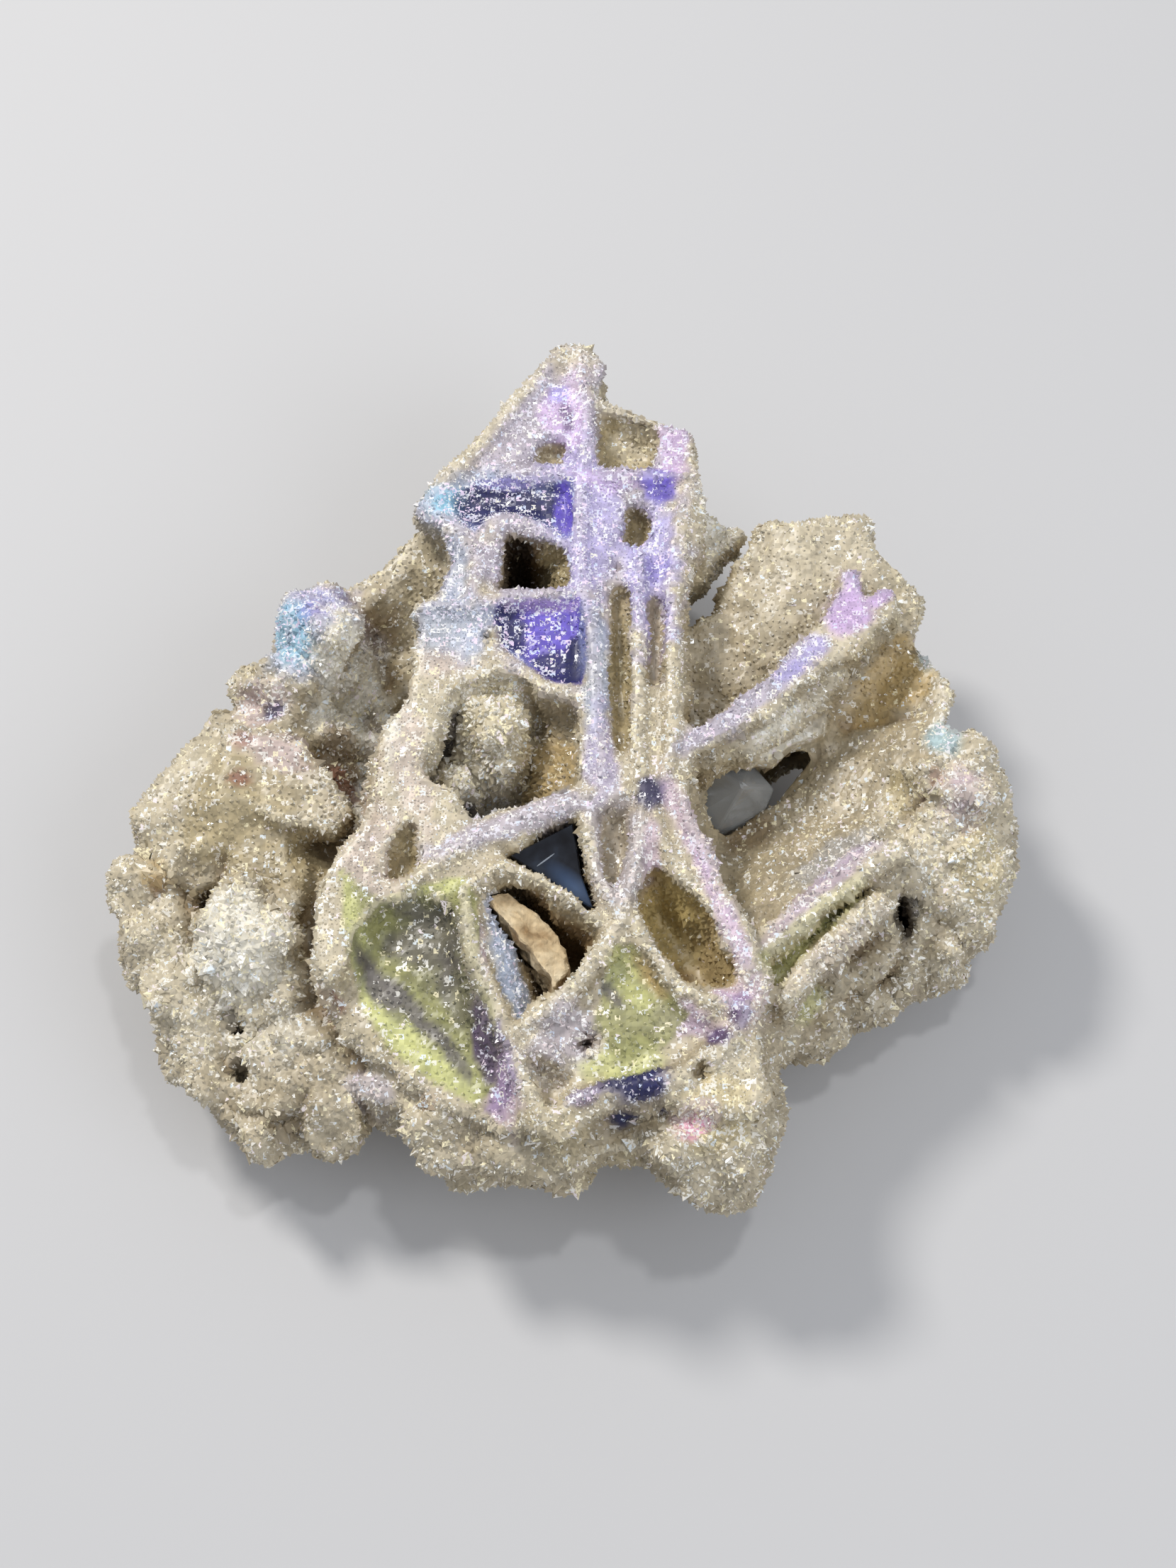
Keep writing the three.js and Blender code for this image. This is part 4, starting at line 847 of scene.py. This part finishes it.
# The marks on the pane, a painted blue sheen and a scratch, (x, y, half length, half width, turn in
# degrees).
PAINTED_SHEEN = (1.6, -14.6, 4.6, 1.5, -42)
SCRATCH = (-1.4, -11.6, 1.3, 0.09, 38)
# The tones of the pane and of the flake, from the least to the greatest of a noise.
PANE_TONES = ((0.3, (0.002, 0.002, 0.004)), (0.55, (0.004, 0.006, 0.012)), (0.75, (0.010, 0.018, 0.034)))
MATRIX_TONES = ((0.3, (0.30, 0.19, 0.09)), (0.5, (0.62, 0.48, 0.29)), (0.7, (0.78, 0.66, 0.46)))


def fill(tree, socket, value):
    """Gives a socket another node's result, or a value of its own."""
    if isinstance(value, bpy.types.NodeSocket):
        tree.links.new(value, socket)
    elif isinstance(value, tuple):
        socket.default_value = (*value, 1)[: len(socket.default_value)]
    else:
        socket.default_value = value


def node(tree, kind, inputs=None, **settings):
    """A node with its settings made and its inputs filled, each by its name or number."""
    made = tree.nodes.new(kind)
    for key, value in settings.items():
        setattr(made, key, value)
    for socket, value in (inputs or {}).items():
        fill(tree, made.inputs[socket], value)
    return made


def new_material(name):
    material = bpy.data.materials.new(name)
    material.use_nodes = True
    tree = material.node_tree
    tree.nodes.clear()
    shader = node(tree, "ShaderNodeBsdfPrincipled")
    out = node(tree, "ShaderNodeOutputMaterial", {"Surface": shader.outputs["BSDF"]})
    return material, tree, shader, out


def dress(tree, shader, **inputs):
    """Fills the shader's inputs, which are named here with _ for their spaces."""
    for name, value in inputs.items():
        fill(tree, shader.inputs[name.replace("_", " ")], value)


def maths(tree, operation, *values):
    return node(tree, "ShaderNodeMath", dict(enumerate(values)), operation=operation).outputs[0]


def vector_maths(tree, operation, *values, result="Vector"):
    made = node(tree, "ShaderNodeVectorMath", dict(enumerate(values)), operation=operation)
    return made.outputs[result]


def spread(tree, value, low, high):
    """A value from 0 to 1 as one from low to high."""
    return maths(tree, "MULTIPLY_ADD", value, high - low, low)


def mixed(tree, share, a, b):
    return node(tree, "ShaderNodeMix", {0: share, 6: a, 7: b}, data_type="RGBA").outputs[2]


def scaled(tree, colour, factor):
    made = node(tree, "ShaderNodeVectorMath", {0: colour, "Scale": factor}, operation="SCALE")
    return made.outputs[0]


def ramp(tree, fac, stops, blend="LINEAR"):
    """A colour for each value, from stops of (value, colour)."""
    made = node(tree, "ShaderNodeValToRGB", {0: fac})
    band = made.color_ramp
    band.interpolation = blend
    band.elements.remove(band.elements[-1])
    band.elements[0].position = stops[0][0]
    band.elements[0].color = (*stops[0][1], 1)
    for place, colour in stops[1:]:
        band.elements.new(place).color = (*colour, 1)
    return made.outputs[0]


def attribute(tree, name, result="Fac"):
    return node(tree, "ShaderNodeAttribute", attribute_name=name).outputs[result]


def object_place(tree):
    return node(tree, "ShaderNodeTexCoord").outputs["Object"]


def noise(tree, place, scale, detail):
    made = node(tree, "ShaderNodeTexNoise", {"Vector": place, "Scale": scale, "Detail": detail})
    return made.outputs["Fac"]


def bumped(tree, height, strength, distance):
    inputs = {"Strength": strength, "Distance": distance * MM, "Height": height}
    return node(tree, "ShaderNodeBump", inputs).outputs[0]


def oval_mark(tree, place, x, y, long, wide, turn):
    """1 in the middle of an oval on the face, 0 from its edge on."""
    inputs = {
        "Vector": place,
        "Location": ((x + FACE_MIDDLE[0]) * MM, (y + FACE_MIDDLE[1]) * MM, 0),
        "Rotation": (0, 0, math.radians(turn)),
        "Scale": (long * MM, wide * MM, 1),
    }
    own = node(tree, "ShaderNodeMapping", inputs, vector_type="TEXTURE").outputs[0]
    span = vector_maths(tree, "LENGTH", own, result="Value")
    return maths(tree, "MAXIMUM", maths(tree, "SUBTRACT", 1.0, span), 0.0)


def eased_normal(tree, painted_glint):
    """Clear quartz shades softly over its facets, so a dull facet's own tilt counts for less."""
    own = node(tree, "ShaderNodeNewGeometry").outputs["Normal"]
    lie = attribute(tree, "lie", "Vector")
    # A facet that faces into the ground keeps its own normal.
    outer = maths(tree, "GREATER_THAN", vector_maths(tree, "DOT_PRODUCT", own, lie, result="Value"), 0.0)
    lean = maths(tree, "MULTIPLY", outer, spread(tree, painted_glint, DULL_LEAN, LIT_LEAN))
    soften = node(tree, "ShaderNodeMix", {"Factor": lean, "A": own, "B": lie}, data_type="VECTOR")
    return vector_maths(tree, "NORMALIZE", soften.outputs["Result"])


def druse_material():
    """Facets of dull quartz, or with a painted glint: a near-white colour and less roughness, over the
    tint of the ground that they grow on.
    """
    material, tree, shader, _ = new_material("quartz_druse")
    glint = attribute(tree, "glint")
    place = object_place(tree)
    grain = noise(tree, place, GRAIN_WAVES, 2)
    fleck = noise(tree, place, FLECK_WAVES, 2)
    share = maths(tree, "MULTIPLY", attribute(tree, "bright"), FLECKED_SHARE)
    flecked = maths(tree, "GREATER_THAN", fleck, FLECK_LEVEL)
    # Painted glints: a share of the facets, broken up by the flecks, get a near-white colour.
    painted_glint = maths(tree, "MULTIPLY", maths(tree, "LESS_THAN", glint, share), flecked)
    # A second number for each facet, from the far digits of the first.
    again = maths(tree, "FRACT", maths(tree, "MULTIPLY", glint, 97.0))
    warm = ramp(tree, again, WARM_FLASHES, "CONSTANT")
    cool = ramp(tree, again, COOL_FLASHES, "CONSTANT")
    flash = mixed(tree, attribute(tree, "coating"), warm, cool)
    dull = scaled(tree, attribute(tree, "tint", "Color"), spread(tree, again, *FACET_TONES))
    dull = scaled(tree, dull, spread(tree, grain, *GRAIN_TONES))
    strength = maths(tree, "MULTIPLY", painted_glint, spread(tree, again, *FLASHES))
    dress(
        tree,
        shader,
        Base_Color=mixed(tree, strength, dull, flash),
        Roughness=spread(tree, painted_glint, DULL, POLISHED),
        Normal=eased_normal(tree, painted_glint),
        IOR=QUARTZ_IOR,
        Specular_IOR_Level=0.45,
    )
    return material


def sphalerite_material():
    """Near black and glassy, with a painted blue sheen and one scratch."""
    material, tree, shader, _ = new_material("sphalerite")
    place = object_place(tree)
    cloud = noise(tree, place, CLOUD_WAVES, 3)
    painted_sheen = maths(tree, "MULTIPLY", oval_mark(tree, place, *PAINTED_SHEEN), 0.9)
    scratch = maths(tree, "GREATER_THAN", oval_mark(tree, place, *SCRATCH), 0.1)
    body = ramp(tree, cloud, PANE_TONES)
    # The painted sheen lays a blue reflection into the body colour.
    body = mixed(tree, painted_sheen, body, (0.045, 0.08, 0.16))
    body = mixed(tree, maths(tree, "MULTIPLY", scratch, 0.6), body, (0.34, 0.38, 0.44))
    dress(
        tree,
        shader,
        Base_Color=body,
        Roughness=spread(tree, cloud, 0.1, 0.34),
        Normal=bumped(tree, cloud, 0.12, 0.1),
        IOR=PANE_IOR,
        Specular_IOR_Level=0.25,
    )
    return material


def clear_material():
    """Grey see-through quartz with a veil over it and haze inside."""
    material, tree, shader, out = new_material("clear_quartz")
    place = object_place(tree)
    # Its growth lines lie in thin layers, one above the other.
    layers = node(tree, "ShaderNodeMapping", {"Vector": place, "Scale": (1, 1, 6)}).outputs[0]
    dress(
        tree,
        shader,
        Base_Color=(0.86, 0.88, 0.88),
        Transmission_Weight=0.72,
        Roughness=spread(tree, noise(tree, place, CLOUD_WAVES, 4), 0.02, 0.34),
        Normal=bumped(tree, noise(tree, layers, LAYER_WAVES, 2), 0.25, 0.1),
        IOR=QUARTZ_IOR,
    )
    haze = node(tree, "ShaderNodeVolumeAbsorption", {"Color": (0.6, 0.62, 0.62), "Density": 60})
    tree.links.new(haze.outputs[0], out.inputs["Volume"])
    return material


def matrix_material():
    """Dull buff matrix, patchy and grainy."""
    material, tree, shader, _ = new_material("matrix")
    place = object_place(tree)
    grain = noise(tree, place, FLAKE_WAVES, 3)
    tone = ramp(tree, noise(tree, place, PATCH_WAVES, 3), MATRIX_TONES)
    dress(
        tree,
        shader,
        Base_Color=scaled(tree, tone, spread(tree, grain, 0.55, 1.35)),
        Roughness=0.85,
        Normal=bumped(tree, grain, 0.6, 0.25),
    )
    return material


def floor_material():
    material, tree, shader, _ = new_material("pale_floor")
    dress(tree, shader, Base_Color=(0.56, 0.56, 0.57), Roughness=0.7)
    return material


# ---- Quartz points by geometry nodes ----

# The tree's inputs. Spacing and Width are in millimetres, Slender is a point's length for its width,
# and Lean is its greatest tilt in radians.
POINT_INPUTS = ("Spacing", "Crowding", "Width", "Slender", "Lean", "Sides", "Seed")
WHOLE_NUMBERS = ("Sides", "Seed")
# What each growth of points gives to those inputs.
GROWTHS = {
    "fine_druse": (0.31, 1.3, 0.44, 0.55, 0.3, 5, 1),
    "coarse_druse_left": (0.52, 1.2, 0.74, 0.6, 0.3, 5, 2),
    "coarse_druse_right": (0.52, 1.2, 0.74, 0.6, 0.3, 5, 3),
    "edge_druse": (0.5, 1.6, 0.86, 0.6, 0.3, 6, 8),
    "under_druse": (0.95, 1.2, 1.25, 0.55, 0.3, 5, 4),
    "quartz_points": (1.8, 0.6, 1.2, 0.8, 0.4, 6, 6),
}
# Where the coarse druse is parted into a left and a right piece.
PARTING = -10
# The smallest and the largest point for a width of 1.
POINT_SIZES = (0.62, 1.35)
# How far a point is sunk for its length, so that its base is hidden.
SUNK = -0.38

# Where a random value has its lowest, its highest and its result, for each kind of value.
RANDOM_SOCKETS = {"FLOAT_VECTOR": (0, 1, 0), "FLOAT": (2, 3, 1)}


def named_value(tree, label):
    """The ground's own value of this name."""
    made = node(tree, "GeometryNodeInputNamedAttribute", {"Name": label}, data_type="FLOAT")
    return made.outputs["Attribute"]


def random_value(tree, kind, lowest, highest, seed):
    low, high, result = RANDOM_SOCKETS[kind]
    inputs = {low: lowest, high: highest, "Seed": seed}
    return node(tree, "FunctionNodeRandomValue", inputs, data_type=kind).outputs[result]


def sown(tree, given):
    """Places over the ground, no nearer to each other than the spacing."""
    spacing = maths(tree, "MULTIPLY", given["Spacing"], MM)
    room = maths(tree, "MULTIPLY", spacing, spacing)
    inputs = {
        "Mesh": given["Geometry"],
        "Distance Min": spacing,
        "Density Max": maths(tree, "DIVIDE", given["Crowding"], room),
        "Density Factor": named_value(tree, "where"),
        "Seed": given["Seed"],
    }
    sow = node(tree, "GeometryNodeDistributePointsOnFaces", inputs, distribute_method="POISSON")
    return sow.outputs["Points"], sow.outputs["Rotation"]


def leaning(tree, given, upright):
    """Each place's rotation, turned at random and tilted."""
    swing = random_value(tree, "FLOAT_VECTOR", (-1, -1, -math.pi), (1, 1, math.pi), given["Seed"])
    limit = node(tree, "ShaderNodeCombineXYZ", {0: given["Lean"], 1: given["Lean"], 2: 1})
    tilt = vector_maths(tree, "MULTIPLY", swing, limit.outputs[0])
    turn = node(tree, "FunctionNodeEulerToRotation", {0: tilt}).outputs[0]
    inputs = {"Rotation": upright, "Rotate By": turn}
    return node(tree, "FunctionNodeRotateRotation", inputs, rotation_space="LOCAL").outputs[0]


def point_size(tree, given):
    """Each point's width in metres."""
    sizes = random_value(tree, "FLOAT", *POINT_SIZES, maths(tree, "ADD", given["Seed"], 7))
    width = maths(tree, "MULTIPLY", given["Width"], MM)
    return maths(tree, "MULTIPLY", sizes, maths(tree, "MULTIPLY", width, named_value(tree, "size")))


def one_point(tree, given):
    """A pointed cone of width 1 with few sides."""
    inputs = {"Radius Top": 0, "Radius Bottom": 0.5, "Vertices": given["Sides"], "Depth": given["Slender"]}
    cone = node(tree, "GeometryNodeMeshCone", inputs, fill_type="NGON")
    sink = node(tree, "ShaderNodeCombineXYZ", {2: maths(tree, "MULTIPLY", given["Slender"], SUNK)})
    inputs = {"Geometry": cone.outputs["Mesh"], "Translation": sink.outputs[0]}
    return node(tree, "GeometryNodeTransform", inputs).outputs["Geometry"]


def crystal_tree(name, material):
    """Grows points over a mesh, as thick and as large as its values "where" and "size" say."""
    tree = bpy.data.node_groups.new(name, "GeometryNodeTree")
    tree.interface.new_socket("Geometry", in_out="INPUT", socket_type="NodeSocketGeometry")
    tree.interface.new_socket("Geometry", in_out="OUTPUT", socket_type="NodeSocketGeometry")
    for label in POINT_INPUTS:
        kind = "NodeSocketInt" if label in WHOLE_NUMBERS else "NodeSocketFloat"
        tree.interface.new_socket(label, in_out="INPUT", socket_type=kind)
    given = node(tree, "NodeGroupInput").outputs
    places, upright = sown(tree, given)
    inputs = {
        "Points": places,
        "Instance": one_point(tree, given),
        "Rotation": leaning(tree, given, upright),
        "Scale": point_size(tree, given),
    }
    grow = node(tree, "GeometryNodeInstanceOnPoints", inputs)
    real = node(tree, "GeometryNodeRealizeInstances", {"Geometry": grow.outputs["Instances"]})
    glint = random_value(tree, "FLOAT", 0, 1, maths(tree, "ADD", given["Seed"], 3))
    inputs = {"Geometry": real.outputs[0], "Name": "glint", "Value": glint}
    keep = node(tree, "GeometryNodeStoreNamedAttribute", inputs, data_type="FLOAT", domain="FACE")
    coat = node(tree, "GeometryNodeSetMaterial", {"Geometry": keep.outputs[0], "Material": material})
    node(tree, "NodeGroupOutput", {"Geometry": coat.outputs["Geometry"]})
    return tree


def grown(name, ground_piece, tree, where, size):
    """Points of quartz over the ground, where and as large as the two arrays say."""
    piece = linked(name, ground_piece.data.copy())
    store(piece.data, "where", where)
    store(piece.data, "size", size)
    growth = piece.modifiers.new("growth", "NODES")
    growth.node_group = tree
    settings = dict(zip(POINT_INPUTS, GROWTHS[name]))
    for item in tree.interface.items_tree:
        if item.in_out == "INPUT" and item.name in settings:
            growth[item.identifier] = settings[item.name]
    applied(piece)
    for label in ("where", "size"):
        if label in piece.data.attributes:
            piece.data.attributes.remove(piece.data.attributes[label])
    return piece


def growing_places(ground):
    """For each growth, where on the ground it stands and how large it is there."""
    points, on_face, sky = ground.points, ground.on_face, ground.sky
    facing_up = ground.normals[:, 2]
    even = np.ones(len(points))
    up = ease(facing_up, -0.35, 0.1)
    clear_of_floor = ease(points[:, 2], 1.6, 3.0)
    off_face = (1 - on_face) * up * clear_of_floor * (1 - gap_sides(points))
    edge = ease(ground.sharp, 0.05, 0.12) * ease(sky, 0.2, 0.45) * ease(points[:, 2], 5, 9)
    rim = ease(0.8 - facing_up, 0, 0.5) * up
    coarser = 0.86 + coarseness(points) + 0.3 * bumps(points, 5, 41) + 0.35 * rim
    return {
        "fine_druse": (on_face * (1 - 0.8 * edge), even),
        "coarse_druse_left": (off_face * (points[:, 0] < PARTING), coarser),
        "coarse_druse_right": (off_face * (points[:, 0] >= PARTING), coarser),
        "edge_druse": (edge * clear_of_floor, even),
        "under_druse": ((1 - up) * clear_of_floor, even),
        "quartz_points": (off_face * ease(coarser, 0.9, 1.3) * ease(sky, 0.3, 0.7), coarser),
    }


def brighten(piece):
    """Paints glints on more of the facets of the large points."""
    layer = piece.data.attributes["bright"].data
    shares = np.empty(len(layer), np.float32)
    layer.foreach_get("value", shares)
    layer.foreach_set("value", np.clip(shares * 2.4 + 0.1, 0, 0.8))


def make_druse():
    """The crust with its colours, and the quartz points that grow over it."""
    druse = druse_material()
    crust, ground = make_crust()
    mesh = crust.data
    colour, bright, coating = tinted(ground)
    store(mesh, "tint", np.column_stack([colour, np.ones(len(colour))]), "FLOAT_COLOR")
    store(mesh, "bright", bright)
    store(mesh, "coating", coating)
    store(mesh, "lie", ground_lie(mesh, ground), "FLOAT_VECTOR")
    random = np.random.default_rng(5)
    store(mesh, "glint", random.random(len(mesh.polygons)), domain="FACE")
    mesh.materials.append(druse)
    tree = crystal_tree("quartz_points", druse)
    places = growing_places(ground)
    growths = {name: grown(name, crust, tree, *places[name]) for name in GROWTHS}
    brighten(growths["quartz_points"])
    return [crust, *growths.values()]


for piece in make_druse():
    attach(piece, "root")
    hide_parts("druzy_boxwork")

# ---- The held pieces ----

# How far the held crystals' edges are worn.
PANE_WEAR = 0.12
CRYSTAL_WEAR = 0.3

# The mesh size of the flake's skin.
FLAKE_SKIN = 0.3
# The flake's roughness, (height, wavelength, seed), and how far it is drawn in to make room for it.
FLAKE_RELIEF = ((0.34, 1.5, 51), (0.2, 0.7, 52), (0.1, 0.35, 53))
FLAKE_INSET = 0.1


def rounded(name, node_name, width):
    """A copy of a held crystal with its sharp edges slightly worn."""
    piece = linked(name, merged_copy(node_name))
    bevel = piece.modifiers.new("wear", "BEVEL")
    bevel.width = width * MM
    bevel.segments = 2
    bevel.limit_method = "ANGLE"
    bevel.angle_limit = math.radians(20)
    return applied(piece)


def make_flake():
    flake = skinned("ragged_flake", "matrix_flake", FLAKE_SKIN)
    one_body(flake)
    mesh = flake.data
    spots = relax(points_of(mesh), edges_of(mesh), 1)
    set_points(mesh, spots)
    rough = noises(spots, FLAKE_RELIEF) - FLAKE_INSET
    set_points(mesh, spots + normals_of(mesh) * rough[:, None])
    return flake


def placed(piece, material, node_name):
    piece.data.materials.clear()
    piece.data.materials.append(material)
    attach(piece, "root")
    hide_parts(node_name)


pane = rounded("dark_pane", "sphalerite_pane", PANE_WEAR)
placed(pane, sphalerite_material(), "sphalerite_pane")
crystal = rounded("smooth_crystal", "clear_crystal", CRYSTAL_WEAR)
placed(crystal, clear_material(), "clear_crystal")
placed(make_flake(), matrix_material(), "matrix_flake")

# ---- The setting ----

# Half of the floor's side, in metres.
FLOOR_HALF = 3.0

# The disks of light, (name, place, width, watts, colour), and the spot that they all point at, in
# metres.
LAMPS = (
    ("key", (-0.32, 0.30, 0.56), 0.14, 3.15, (1.0, 0.97, 0.92)),
    ("fill", (0.45, -0.30, 0.5), 0.5, 1.3, (0.92, 0.95, 1.0)),
    ("spark", (0.12, 0.10, 0.75), 0.06, 0.8, (1, 1, 1)),
)
LIT_SPOT = (0, 0, 0.015)

# The camera's height above the level in degrees, its distance in millimetres, and what it looks at,
# in millimetres from the middle of the face.
ELEVATION = 66.0
DISTANCE = 262.0
TARGET = (3.0, 1.0, 18.0)


def looking(away):
    """The turn that points a lamp or a camera back along this way."""
    return (-away).to_track_quat("-Z", "Y").to_euler()


def make_floor():
    mesh = bpy.data.meshes.new("floor")
    corners = [(x * FLOOR_HALF, y * FLOOR_HALF, 0) for x, y in ((-1, -1), (1, -1), (1, 1), (-1, 1))]
    mesh.from_pydata(corners, [], [(0, 1, 2, 3)])
    floor = linked("floor", mesh)
    floor.data.materials.append(floor_material())


def make_lights():
    for name, place, size, power, colour in LAMPS:
        light = bpy.data.lights.new(name, "AREA")
        light.shape = "DISK"
        light.size = size
        light.energy = power
        light.color = colour
        lamp = linked(name, light)
        lamp.location = place
        lamp.rotation_euler = looking(Vector(place) - Vector(LIT_SPOT))
    world = bpy.data.worlds.new("studio")
    world.use_nodes = True
    background = world.node_tree.nodes["Background"]
    background.inputs["Color"].default_value = (0.82, 0.84, 0.88, 1)
    background.inputs["Strength"].default_value = 0.52
    bpy.context.scene.world = world


def make_camera():
    x, y, z = TARGET
    target = Vector((x + FACE_MIDDLE[0], y + FACE_MIDDLE[1], z)) * MM
    rise = math.radians(ELEVATION)
    away = Vector((0, -math.cos(rise), math.sin(rise))) * (DISTANCE * MM)
    data = bpy.data.cameras.new("camera")
    data.lens = 55
    data.sensor_fit = "VERTICAL"
    data.sensor_height = 36
    data.clip_start = 0.01
    data.clip_end = 20
    camera = linked("camera", data)
    camera.location = target + away
    camera.rotation_euler = looking(away)
    bpy.context.scene.camera = camera


make_floor()
make_lights()
make_camera()
bpy.context.scene.view_settings.view_transform = "Standard"
